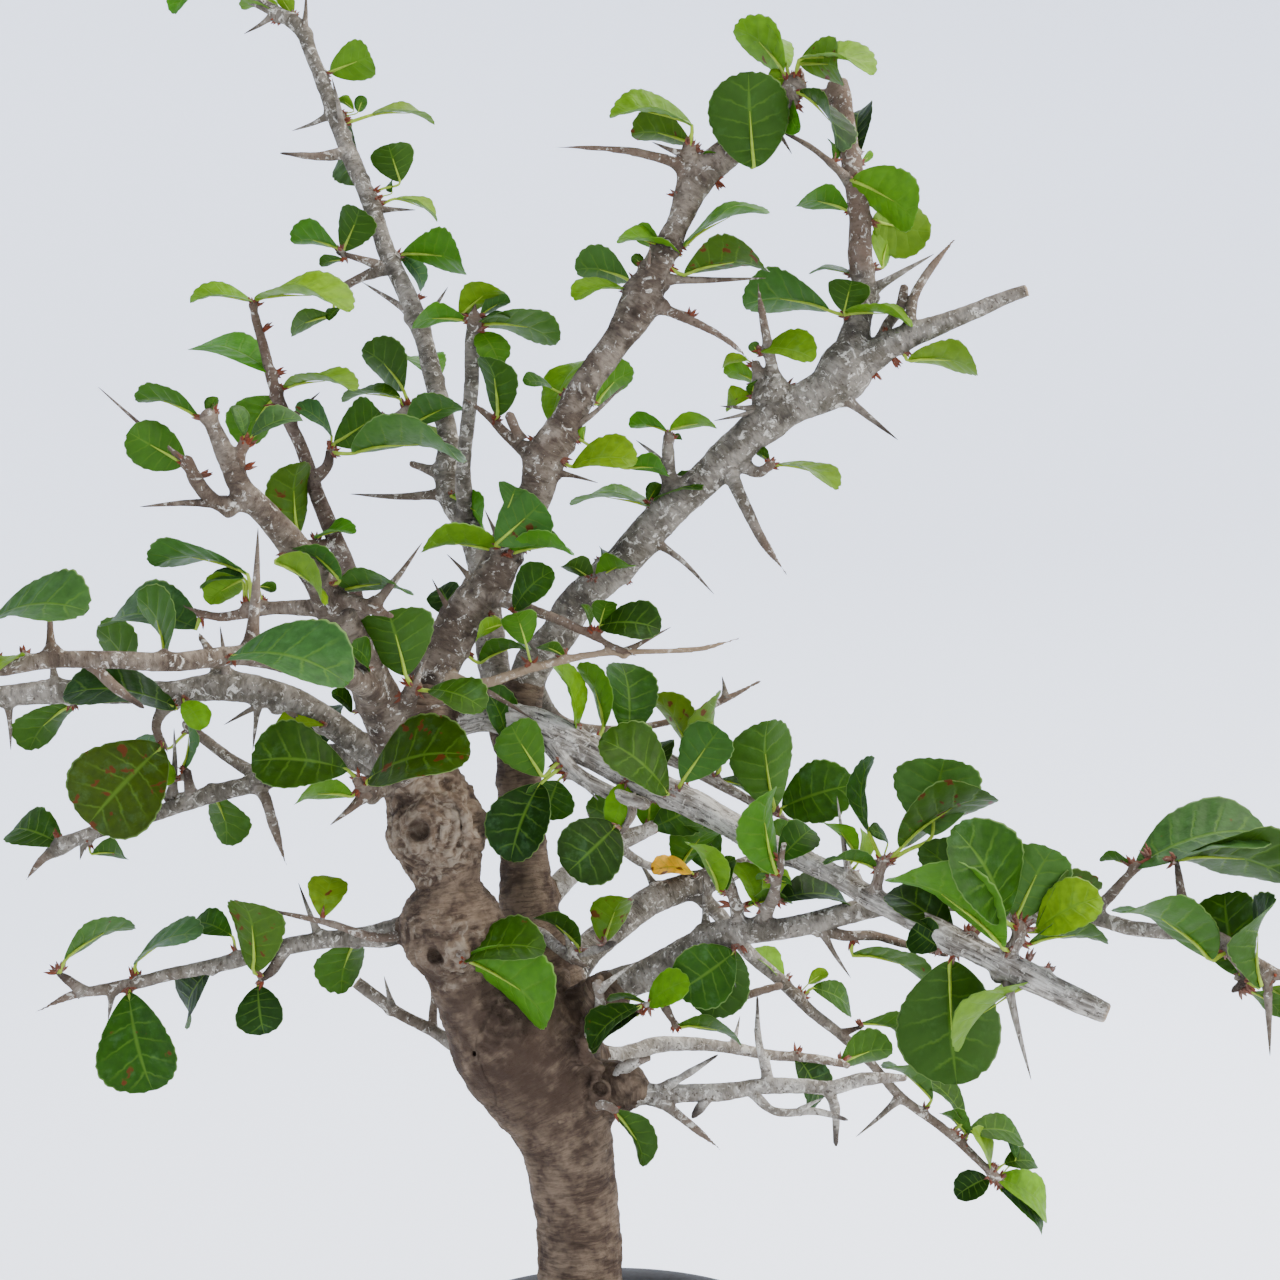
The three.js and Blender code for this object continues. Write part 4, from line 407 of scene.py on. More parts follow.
            [[15, 155, -5, 1.8], [24, 145, 4, 1.4], [42, 148.5, 8, 1.1]],
        ],
        "thorns": [
            [23.5, 160, 22.8, 176, 1.2, 3], [52, 163, 59.7, 150.5, 1, -4], [27, 161, 31, 148, 1, -5],
            [163, 152, 164.5, 131, 1.5, -3],
        ],
        "leaves": [
            [30.5, 157, 16.5, 147, 16, -5, -3], [30, 158, 25, 141, 16, 7, 4],
            [16, 138.5, 32.5, 134.5, 6, -5], [27, 172, 19.5, 184.5, 6, -5], [36, 169, 31, 179.5, 6, 4],
            [42, 170, 59, 169.7, 5, 6], [41, 176.5, 39, 197.5, 11, -6, -3], [42, 180, 50, 188, 9, 5],
            [60, 156.5, 81, 148.8, 6, -3], [130.5, 178, 164, 187.5, 10, -5], [141, 180, 170, 176, 13, 5],
            [157, 151, 153, 172, 14, 8, 4], [162, 148, 165, 170, 10, -8, -4],
            [150, 155, 128, 168, 10, -8, -3], [164, 148, 172, 141, 8, 4], [170, 150, 186, 158, 14, 5],
            [176, 148, 190, 140, 13, -5], [28, 172, 30, 181, 5], [34, 168.5, 45, 169.5, 3],
            [41, 175, 36, 175.5, 2], [41, 175, 45, 174, 2], [131, 178, 122, 180, 1.8],
            [160, 147, 168, 141, 5],
        ],
        "buds": [[26, 168], [34.5, 169], [32, 157], [134, 181], [158, 147]],
        "tones": "mdmyydbmmpdmdmymdmmpmmm",
    },
    "twig_right_dead": {
        "wood": [
            [[-2, 122.5, -3, 4.4], [4, 122.5, -5, 4], [10, 121.5, -5, 2.8], [18, 121.7, -5, 2.4],
             [28, 122, -5, 2.2], [38, 123.5, -5, 2.1], [48, 123.5, -5, 1.9], [55, 123, -5, 1.8],
             [62, 125, -5, 1.9], [68, 125.5, -5, 1.5], [73, 125.5, -5, 1.1]],
            [[9, 121.5, -5, 1.9], [15, 117.5, -8, 1.4], [20, 113.5, -9, 1.1], [27, 107.8, -10, 0.4]],
            [[11, 122, -5, 1.5], [18, 126, -8, 1], [26.5, 131.3, -9, 0.4]],
            [[25, 122, -5, 1.4], [22, 118, -7, 1.2], [20, 115.5, -8, 0.8]],
            [[39, 123.5, -5, 1.7], [38.5, 128, -4, 1.3], [37, 133, -3, 1], [36.3, 146, -2, 0.3]],
            [[34, 123, -5, 1.4], [40, 117.5, -9, 1.1], [52, 117, -10, 0.9], [59, 115, -10, 0.5]],
            [[54, 123, -5, 1.6], [55.5, 119, -5, 1.2], [56, 108.5, -5, 0.6]],
            [[0, 123, -4, 2], [3, 128, -7, 1.8], [9.5, 130.5, -9, 0.8]],
        ],
        "thorns": [[38, 130, 35.5, 138, 0.8, -3], [47, 117, 53, 120.5, 0.7, -2]],
        "leaves": [],
        "buds": [],
        "tones": "",
    },
    "twig_right_back": {
        "wood": [
            [[-6, 131, 8, 3], [4, 131, 18, 2.8], [10, 133.5, 22, 2.2], [20, 134, 25, 1.8],
             [30, 133, 26, 1.5], [38, 131.5, 26, 1.4], [53, 130, 26, 1.2], [59, 128.5, 26, 0.8]],
        ],
        "thorns": [[30, 133, 32, 141, 0.8, 3]],
        "leaves": [[57, 129, 70, 133, 10, 4], [46, 131, 52, 119, 9, 4]],
        "buds": [],
        "tones": "md",
    },
    "bough_back_pale": {
        "wood": [
            [[-20, 165, 17, 3.4], [-14, 173, 22, 3], [-8, 178.5, 25, 2.6], [3, 185, 28, 2.2],
             [10, 188, 30, 1.8]],
            [[1, 184, 28, 1.4], [8, 179, 36, 1.1], [18, 177, 42, 0.7]],
        ],
        "thorns": [[-4, 181, -6, 192, 0.9, 3]],
        "leaves": [
            [10, 188, 22, 194, 12, 5], [9, 188, 10, 200, 10, -3, 2], [17, 178, 26, 188, 10, -12],
            [4, 186, -6, 194, 10, 8, 2],
        ],
        "buds": [],
        "tones": "mymm",
    },
    "bough_back_drooping": {
        "wood": [
            [[-12, 143, 14, 4.2], [-8, 155, 26, 4], [3, 165, 34, 3.7], [10, 170, 37, 3.6],
             [18, 173, 40, 3.5], [24, 175, 41, 3.3], [32, 178, 42, 2.4], [38, 181, 43, 1.2]],
            [[20, 173, 40, 2.2], [28, 165, 43, 1.9], [34, 157, 45, 1.8], [42, 150, 46, 1.6],
             [50, 142, 47, 1.5], [57, 136.5, 48, 1.4], [64, 130, 49, 1.3], [72, 121, 50, 1.3],
             [82, 113.5, 51, 1.2], [90, 106.5, 52, 1.1], [95, 101.5, 52, 1], [98, 99, 53, 0.6]],
            [[57, 136.5, 48, 1], [63, 138.5, 46, 0.5]],
        ],
        "thorns": [[72, 120.5, 61, 110.8, 1, 3], [12, 171, 6, 181, 1.1, 5]],
        "leaves": [
            [43, 149.5, 34.5, 157.5, 4, 4], [50, 148, 60, 142.5, 5, 5], [62, 139, 74, 136, 5, 4],
            [80, 120, 68, 128.5, 4, -3], [88, 115, 77, 126, 5, 4], [89, 112, 102.5, 111, 5, 4],
            [94.5, 103, 90.5, 112.5, 4, -3], [98, 104, 106, 104.5, 4, 3], [94, 100.5, 86, 96, 6, -3],
            [96, 100.5, 109, 92, 7, 4], [20, 177, 10, 177.5, 4, -4, -3], [36, 181, 47, 187, 12, 4],
            [34, 179, 42, 170, 10, 6], [26, 177, 22, 190, 10, 6, 3], [49, 149, 54, 152, 4],
            [89, 111, 82.5, 117, 4.5], [101, 105.5, 98.5, 111, 2.8], [97, 98, 108, 87.5, 5],
        ],
        "buds": [],
        "tones": "ymmpmmymdygmymymmm",
    },
    "shoot_trunk_left": {
        "wood": [
            [[-36, 152, -12, 2.6], [-37.5, 156, -18.5, 2], [-38, 158, -20, 1.2]],
        ],
        "thorns": [],
        "leaves": [[-37, 155.3, -15.5, 140, 17, -7, -1], [-37, 155.5, -17, 158, 8, -5]],
        "buds": [],
        "tones": "bm",
    },
    "shoot_trunk_front": {
        "wood": [
            [[-21, 161, 13, 2.4], [-18, 161.5, 5, 1.7], [-14, 158.5, 1, 1.5], [-11, 156, -1, 1.4],
             [-6, 153, -4, 0.7]],
            [[-11, 156.5, 0, 1.2], [-4, 157.5, 0, 1.1], [1, 159.5, -1, 0.7]],
        ],
        "thorns": [[-10, 156, -12.5, 164, 0.9, -2]],
        "leaves": [[-2, 159.5, 3, 171, 9.5, -4], [-8, 158, -19, 166, 6, -4, -2]],
        "buds": [],
        "tones": "sd",
    },
    "shoot_trunk_right": {
        "wood": [
            [[-8, 130, -6, 2.4], [-5, 137, -14, 1.8], [-3, 143, -16, 1.6], [-3.5, 149, -17, 1.2]],
            [[-3, 142, -16, 1.1], [5, 143, -18, 0.8], [15, 145.5, -18, 0.5]],
        ],
        "thorns": [[-3.5, 148, 6, 154.5, 0.9, -2]],
        "leaves": [
            [7, 143.5, -5.5, 133.5, 5, -3, -3], [9, 143.8, 19, 150, 7, -4], [7, 142, -5.5, 132.5, 4],
            [9, 144, -1, 145, 3],
        ],
        "buds": [],
        "tones": "dydm",
    },
    "shoot_trunk_low": {
        "wood": [
            [[-6, 119, -8, 2], [-1, 118.5, -12.5, 1.3], [1, 117.5, -14, 0.8]],
        ],
        "thorns": [],
        "leaves": [[0.5, 117.5, 8.5, 103.8, 8, -2]],
        "buds": [],
        "tones": "d",
    },
}

# The routes that end in a saw cut and those of dry, barkless wood, by their number in the bough, and the
# height in millimetres above which a bough's bark is still brown.
SAWN_ROUTES = {
    "bough_right": (0,), "bough_top_right": (0, 1), "twig_left_bare": (0,), "bough_top_centre": (0,),
}
DRY_ROUTES = {"bough_top_centre": (1,)}
BROWN_ABOVE = {"bough_top_right": 324.0}


def placed(x: np.ndarray, z: np.ndarray, depth: np.ndarray) -> np.ndarray:
    """Points in millimetres that the eye sees at (x, z), each carried along its line of sight to its depth.

    Args:
        x: places across the view, at the depth of the trunk.
        z: heights in the view, at the depth of the trunk.
        depth: how far behind the trunk each point lies.

    Returns:
        An array of points, the last axis being x, y and z.
    """
    spread = 1 + np.asarray(depth, float) / EYE_DISTANCE
    across = EYE_X + (np.asarray(x) - EYE_X) * spread
    up = EYE_Z + (np.asarray(z) - EYE_Z) * spread
    return np.stack([across, depth * np.ones_like(spread), up], axis=-1)


def unit(vectors: np.ndarray) -> np.ndarray:
    """The vectors scaled to length 1."""
    return vectors / np.maximum(np.linalg.norm(vectors, axis=-1, keepdims=True), TINY)


def away_from(points: np.ndarray, place: np.ndarray) -> np.ndarray:
    """How far each point is from a place."""
    return np.linalg.norm(points - place, axis=1)


def rings_joined(count: int, sides: int) -> list[np.ndarray]:
    """The faces of a surface of rings: quads between neighbours, and a fan to one point at either end.

    Args:
        count: the number of rings, each of whose points come one after another.
        sides: the number of points in a ring; the two end points come after the last ring.

    Returns:
        The quads, the first fan and the last fan, facing out if each ring turns left about its direction.
    """
    i, j = np.meshgrid(np.arange(count - 1), np.arange(sides), indexing="ij")
    a, b = i * sides + j, i * sides + (j + 1) % sides
    k, top = np.arange(sides), (count - 1) * sides
    quads = np.stack([a, b, b + sides, a + sides], axis=-1).reshape(-1, 4)
    first = np.stack([np.full(sides, count * sides), (k + 1) % sides, k], axis=1)
    last = np.stack([np.full(sides, count * sides + 1), top + k, top + (k + 1) % sides], axis=1)
    return [quads, first, last]


def lathe(r: np.ndarray, z: np.ndarray, turn: np.ndarray) -> np.ndarray:
    """Points at each radius r and height z, carried round the axis to each angle, ring after ring."""
    rings = [r[:, None] * np.cos(turn), r[:, None] * np.sin(turn), np.repeat(z[:, None], len(turn), 1)]
    return np.stack(rings, axis=-1).reshape(-1, 3)


def noise(points: np.ndarray, pitch: float, seed: int) -> np.ndarray:
    """Smooth value noise: a random number at each lattice corner, blended over each cell with 3t^2 - 2t^3.

    Args:
        points: places in millimetres.
        pitch: the lattice's spacing in millimetres.
        seed: which noise.

    Returns:
        One number from -1 to 1 for each point.
    """
    scaled = points / pitch + 137.0 * (seed + 1)
    cell = np.floor(scaled).astype(np.int64)
    t = scaled - cell
    t = t * t * (3 - 2 * t)
    total = np.zeros(len(points))
    for corner in np.ndindex(2, 2, 2):
        at = cell + np.array(corner)
        mixed = (at[:, 0] * 73856093) ^ (at[:, 1] * 19349663) ^ (at[:, 2] * 83492791) ^ (seed * 2654435761)
        mixed = (mixed ^ (mixed >> 13)) * 1274126177 & 0xFFFFFFFF
        value = ((mixed ^ (mixed >> 16)) & 0xFFFF) / 32767.5 - 1
        weight = np.prod(np.where(np.array(corner) == 1, t, 1 - t), axis=1)
        total += value * weight
    return total


def layered(points: np.ndarray, pitch: float, seed: int, layers: int = 3) -> np.ndarray:
    """Noise added to itself at half the pitch and half the height, for each further layer."""
    return sum(noise(points, pitch / 2**i, seed + i) / 2**i for i in range(layers)) / 1.6


@dataclass(eq=False)
class Path:
    """A smooth line through a route's points, with a radius and a square frame at each sample."""

    points: np.ndarray
    radii: np.ndarray
    along: np.ndarray
    tangent: np.ndarray
    side: np.ndarray
    up: np.ndarray

    @staticmethod
    def through(points: np.ndarray, radii: np.ndarray, step: float) -> "Path":
        """A cubic through the points whose slope at each is that of the chord between its neighbours.

        Args:
            points: the route's points in millimetres.
            radii: the stem's radius at each.
            step: the spacing of the samples.

        Returns:
            The path, its frames carried along it without twist.
        """
        chord = np.maximum(np.linalg.norm(np.diff(points, axis=0), axis=1), 1e-6)
        knots = np.concatenate([[0], np.cumsum(chord)])
        if len(points) > 2:
            slope = np.gradient(points, knots, axis=0)
        else:
            slope = np.repeat(np.diff(points, axis=0) / chord[0], 2, axis=0)
        count = max(int(knots[-1] / step) + 1, 3)
        along = np.linspace(0, knots[-1], count)
        i = np.clip(np.searchsorted(knots, along, side="right") - 1, 0, len(chord) - 1)
        t = ((along - knots[i]) / chord[i])[:, None]
        run = chord[i][:, None]
        line = ((2 * t**3 - 3 * t**2 + 1) * points[i] + (t**3 - 2 * t**2 + t) * run * slope[i]
                + (3 * t**2 - 2 * t**3) * points[i + 1] + (t**3 - t**2) * run * slope[i + 1])
        blend = t[:, 0] ** 2 * (3 - 2 * t[:, 0])
        width = radii[i] * (1 - blend) + radii[i + 1] * blend
        tangent = unit(np.gradient(line, along, axis=0))
        side = np.empty_like(line)
        start = np.array([0.0, 1.0, 0.0]) if abs(tangent[0][1]) < 0.9 else np.array([1.0, 0.0, 0.0])
        for k, direction in enumerate(tangent):
            start = start - direction * np.dot(direction, start)
            start = start / np.linalg.norm(start)
            side[k] = start
        return Path(line, width, along, tangent, side, np.cross(tangent, side))


def path_of(route: list[list[float]], step: float) -> Path:
    """The smooth path of a route of [x, z, depth, radius] rows."""
    rows = np.array(route, float)
    points = placed(rows[:, 0], rows[:, 1], rows[:, 2])
    return Path.through(points, rows[:, 3] * (1 + rows[:, 2] / EYE_DISTANCE), step)


class Shell:
    """A mesh being put together from parts, with the same marks on every part."""

    def __init__(self) -> None:
        """Starts with no parts."""
        self.points: list[np.ndarray] = []
        self.faces: list[list[int]] = []
        self.marks: dict[str, list[np.ndarray]] = {}
        self.count = 0

    def add(self, points: np.ndarray, faces: np.ndarray | list, **marks: np.ndarray) -> None:
        """Adds a part.

        Args:
            points: its vertices in millimetres.
            faces: its faces, as rows of vertex numbers.
            marks: for each mark, one row for each vertex.
        """
        for block in faces if isinstance(faces, list) else [faces]:
            if len(block):
                self.faces.extend((np.asarray(block) + self.count).tolist())
        self.points.append(points)
        self.count += len(points)
        for name, values in marks.items():
            whole = np.broadcast_to(values, (len(points), np.shape(values)[-1]))
            self.marks.setdefault(name, []).append(whole)

    def build(self, name: str, finish: bpy.types.Material, slot: str, *nodes: str) -> bpy.types.Object:
        """Makes the object, smooth shaded and riding on the root, in place of the CAD nodes.

        Args:
            name: the piece's name.
            finish: its material.
            slot: the record's slot that the finish stands for; not used.
            nodes: the CAD nodes that it replaces.

        Returns:
            The new object.
        """
        mesh = bpy.data.meshes.new(name)
        points = np.concatenate(self.points) * MM
        mesh.from_pydata(points.tolist(), [], self.faces)
        mesh.polygons.foreach_set("use_smooth", np.ones(len(mesh.polygons), bool))
        for mark, blocks in self.marks.items():
            values = np.concatenate(blocks).astype(np.float32)
            kind, key = ("FLOAT_COLOR", "color") if values.shape[1] == 4 else ("FLOAT_VECTOR", "vector")
            mesh.attributes.new(mark, kind, "POINT").data.foreach_set(key, values.ravel())
        mesh.materials.append(finish)
        mesh.update()
        piece = bpy.data.objects.new(name, mesh)
        bpy.context.scene.collection.objects.link(piece)
        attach(piece, "root")
        if nodes:
            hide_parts(*nodes)
        LOG.info("%s: %d vertices, %d faces", name, len(mesh.vertices), len(mesh.polygons))
        return piece


def squared(grids: list[np.ndarray], place: np.ndarray) -> np.ndarray:
    """The squared distance of each lattice point from a place: x^2 + y^2 + z^2 from there."""
    return sum((g - p) ** 2 for g, p in zip(grids, place))


def travelled(grids: list[np.ndarray], place: np.ndarray, direction: np.ndarray) -> np.ndarray:
    """How far each lattice point lies from a place along a direction: their dot product."""
    return sum((g - p) * d for g, p, d in zip(grids, place, direction))


class WoodField:
    """The signed distance to round stems on a lattice, joined so that each fork has a fillet."""

    def __init__(self, low: np.ndarray, high: np.ndarray, pitch: float) -> None:
        """An empty lattice over the box from low to high, with the given spacing in millimetres."""
        self.pitch = pitch
        self.origin = low - 3 * pitch
        self.shape = tuple(int(n) for n in np.ceil((high - low) / pitch) + 7)
        self.values = np.full(self.shape, FAR, np.float32)

    def block(self, low: np.ndarray, high: np.ndarray) -> tuple[tuple[slice, ...], list[np.ndarray]]:
        """The lattice points of a box: their slices, and their coordinates ready to broadcast."""
        a = np.maximum(np.floor((low - self.origin) / self.pitch).astype(int), 0)
        b = np.minimum(np.ceil((high - self.origin) / self.pitch).astype(int) + 1, self.shape)
        part = tuple(slice(i, max(j, i)) for i, j in zip(a, b))
        grids = np.ogrid[part]
        return part, [(g * self.pitch + o).astype(np.float32) for g, o in zip(grids, self.origin)]

    def join(self, part: tuple[slice, ...], distance: np.ndarray, fillet: float) -> None:
        """Joins a distance to the lattice: where both are near, the lesser is lowered by a blend."""
        old = self.values[part]
        h = np.clip(0.5 + 0.5 * (old - distance) / fillet, 0, 1)
        self.values[part] = old * (1 - h) + distance * h - fillet * h * (1 - h)

    def stem(self, path: Path, fillet: float) -> None:
        """Joins a tapered stem: the least distance to its short straight lengths, less their radius."""
        margin = fillet + 2 * self.pitch
        reach = path.radii.max() + margin
        part, grids = self.block(path.points.min(0) - reach, path.points.max(0) + reach)
        whole = np.full([g.size for g in grids], FAR, np.float32)
        first = np.array([s.start for s in part])
        for i in range(len(path.points) - 1):
            a, b = path.points[i], path.points[i + 1]
            ra, rb = path.radii[i], path.radii[i + 1]
            reach = max(ra, rb) + margin
            near, grids = self.block(np.minimum(a, b) - reach, np.maximum(a, b) + reach)
            inner = tuple(slice(s.start - f, s.stop - f) for s, f in zip(near, first))
            run = b - a
            t = np.clip(travelled(grids, a, run) / np.dot(run, run), 0, 1)
            away = np.sqrt(sum((g - p - t * d) ** 2 for g, p, d in zip(grids, a, run)))
            whole[inner] = np.minimum(whole[inner], away - (ra + t * (rb - ra)))
        self.join(part, whole, fillet)

    def ball(self, centre: np.ndarray, radius: float, fillet: float) -> None:
        """Joins a ball."""
        reach = radius + fillet + 2 * self.pitch
        part, grids = self.block(centre - reach, centre + reach)
        self.join(part, (np.sqrt(squared(grids, centre)) - radius).astype(np.float32), fillet)

    def ring(self, centre: np.ndarray, axis: np.ndarray, radius: float, tube: float, fillet: float) -> None:
        """Joins a ring: the distance to a circle about an axis, less the radius of its tube."""
        reach = radius + tube + fillet + 2 * self.pitch
        part, grids = self.block(centre - reach, centre + reach)
        height = travelled(grids, centre, axis)
        flat = np.sqrt(np.maximum(squared(grids, centre) - height**2, 0))
        self.join(part, (np.hypot(flat - radius, height) - tube).astype(np.float32), fillet)

    def pit(self, centre: np.ndarray, radius: float, edge: float) -> None:
        """Takes a ball out, with a rounded lip."""
        reach = radius + edge + 2 * self.pitch
        part, grids = self.block(centre - reach, centre + reach)
        away = radius - np.sqrt(squared(grids, centre))
        old = self.values[part]
        h = np.clip(0.5 - 0.5 * (old - away) / edge, 0, 1)
        self.values[part] = old * (1 - h) + away * h + edge * h * (1 - h)

    def saw(self, end: np.ndarray, direction: np.ndarray, reach: float) -> None:
        """Cuts off what lies past a flat plane at a stem's end, within reach of it."""
        part, grids = self.block(end - reach, end + reach)
        self.values[part] = np.maximum(self.values[part], travelled(grids, end, direction))

    def surface(self) -> tuple[np.ndarray, np.ndarray]:
        """The surface at distance 0, after two rounds of light smoothing.

        Each cell that it crosses holds one vertex, at the mean of the crossings on the cell's edges, and
        each lattice edge that it crosses has one quad round it.

        Returns:
            The vertices in millimetres and the quads, facing out.
        """
        values = self.values
        inside = values < 0
        corners = np.array(list(np.ndindex(2, 2, 2)))
        stop = np.array(values.shape) - 1
        total = np.zeros(tuple(stop), np.uint8)
        for c in corners:
            total += inside[tuple(slice(o, n + o) for o, n in zip(c, stop))]
        cells = np.argwhere((total > 0) & (total < 8))
        index = np.full(tuple(stop), -1, np.int32)
        index[tuple(cells.T)] = np.arange(len(cells))
        at = values[tuple((cells[:, None, :] + corners[None]).transpose(2, 0, 1))]
        place = np.zeros((len(cells), 3))
        hits = np.zeros(len(cells))
        for i, j in np.argwhere(np.abs(corners[:, None] - corners).sum(2) == 1):
            if i < j:
                crossed = (at[:, i] < 0) != (at[:, j] < 0)
                t = np.where(crossed, at[:, i] / np.where(crossed, at[:, i] - at[:, j], 1), 0)
                place += np.where(crossed[:, None], corners[i] + t[:, None] * (corners[j] - corners[i]), 0)
                hits += crossed
        points = (cells + place / hits[:, None]) * self.pitch + self.origin
        quads = []
        for axis in range(3):
            u, v = (axis + 1) % 3, (axis + 2) % 3
            ahead = np.take(inside, range(1, values.shape[axis]), axis)
            behind = np.take(inside, range(values.shape[axis] - 1), axis)
            edges = np.argwhere(ahead != behind)
            low, high = edges[:, [u, v]].min(1) > 0, (edges[:, [u, v]] < stop[[u, v]]).all(1)
            edges = edges[low & high]
            leaves_wood = behind[tuple(edges.T)]
            step_u, step_v = np.eye(3, dtype=int)[u], np.eye(3, dtype=int)[v]
            ring = [edges - step_u - step_v, edges - step_v, edges, edges - step_u]
            quad = np.stack([index[tuple(r.T)] for r in ring], axis=1)
            quad[~leaves_wood] = quad[~leaves_wood][:, ::-1]
            quads.append(quad)
        faces = np.concatenate(quads)
        pairs = np.concatenate([faces[:, [k, (k + 1) % 4]] for k in range(4)])
        one, other = pairs.T
        for _ in range(2):
            mean = np.stack([np.bincount(one, points[other, k], len(points))
                             + np.bincount(other, points[one, k], len(points)) for k in range(3)], axis=1)
            share = np.bincount(pairs.ravel(), minlength=len(points))[:, None]
            points = 0.5 * points + 0.5 * mean / np.maximum(share, 1)
        return points, faces


def facing(points: np.ndarray, faces: np.ndarray) -> np.ndarray:
    """Unit normals of vertices: the sum of the crossed diagonals of the quads round each."""
    cross = np.cross(points[faces[:, 2]] - points[faces[:, 0]], points[faces[:, 3]] - points[faces[:, 1]])
    total = np.zeros_like(points)
    for k in range(4):
        for axis in range(3):
            total[:, axis] += np.bincount(faces[:, k], cross[:, axis], len(points))
    return unit(total)


def tube(path: Path, sides: int) -> tuple[np.ndarray, np.ndarray, list[np.ndarray]]:
    """A ring of points round each sample of a path, closed at both ends by a point.

    Args:
        path: the line, with its radii and frames.
        sides: the number of points in a ring.

    Returns:
        The points, each point's sample number, and the quads and end triangles, facing out.
    """
    count = len(path.points)
    turn = np.arange(sides) * 2 * math.pi / sides
    out = np.cos(turn)[None, :, None] * path.side[:, None] + np.sin(turn)[None, :, None] * path.up[:, None]
    rings = (path.points[:, None] + path.radii[:, None, None] * out).reshape(-1, 3)
    points = np.concatenate([rings, path.points[[0, -1]]])
    sample = np.concatenate([np.repeat(np.arange(count), sides), [0, count - 1]])
    return points, sample, rings_joined(count, sides)


@dataclass
class Root:
    """The place on the wood that a leaf or a thorn grows from, as seen from the front."""

    x: float
    z: float
    depth: float
    radius: float

    @property
    def point(self) -> np.ndarray:
        """The root's place in millimetres."""
        return placed(self.x, self.z, self.depth)


def nearest_wood(wood: list[list[list[float]]], x: float, z: float) -> Root:
    """The point of the wood whose bark is nearest to (x, z) in the view: the least distance less radius.

    Args:
        wood: the bough's routes.
        x: the place across the view.
        z: the height in the view.

    Returns:
        The root there, kept off the very end of a route.
    """
    best, least = None, math.inf
    for route in wood:
        rows = np.array(route, float)
        a, b = rows[:-1], rows[1:]
        run = ((b - a)[:, :2] ** 2).sum(1)
        most = np.ones(len(run))
        most[-1] = 1 - min(0.6, 1.3 * b[-1, 3] / math.sqrt(run[-1]))
        t = ((x - a[:, 0]) * (b - a)[:, 0] + (z - a[:, 1]) * (b - a)[:, 1]) / run
        t = np.clip(t, 0, most)[:, None]
        near = a + t * (b - a)
        away = np.hypot(x - near[:, 0], z - near[:, 1]) - near[:, 3]
        k = int(np.argmin(away))
        if away[k] < least:
            best, least = Root(*near[k]), away[k]
    return best


def linear(colour: str) -> tuple[float, float, float, float]:
    """An sRGB hex value as linear red, green and blue, with alpha 1."""
    parts = [int(colour[i:i + 2], 16) / 255 for i in (1, 3, 5)]
    return tuple([p / 12.92 if p <= 0.04045 else ((p + 0.055) / 1.055) ** 2.4 for p in parts] + [1.0])


def add(tree: bpy.types.NodeTree, kind: str, links: dict | None = None, **settings: str) -> bpy.types.Node:
    """Adds a node.

    Args:
        tree: the material's node tree.
        kind: the node's type, without the words that all types start with.
        links: for each input, a value, another node's output, or a node whose first output it takes.
        settings: the node's own settings.

    Returns:
        The new node.
    """
    made = tree.nodes.new(f"ShaderNode{kind}")
    for key, value in settings.items():
        setattr(made, key, value)
    for key, value in (links or {}).items():
        if isinstance(value, bpy.types.Node):
            value = next(o for o in value.outputs if o.enabled)
        if isinstance(value, bpy.types.NodeSocket):
            tree.links.new(value, made.inputs[key])
        else:
            made.inputs[key].default_value = value
    return made


def blank(name: str) -> tuple[bpy.types.Material, bpy.types.NodeTree]:
    """A new material with an empty node tree."""
    material = bpy.data.materials.new(name)
    material.use_nodes = True
    material.node_tree.nodes.clear()
    return material, material.node_tree


def spread(size: float, detail: float = 5.0, roughness: float = 0.6, twist: float = 0.0) -> dict:
    """The settings of a noise whose features are size millimetres across."""
    return {"Scale": 1 / (size * MM), "Detail": detail, "Roughness": roughness, "Distortion": twist}


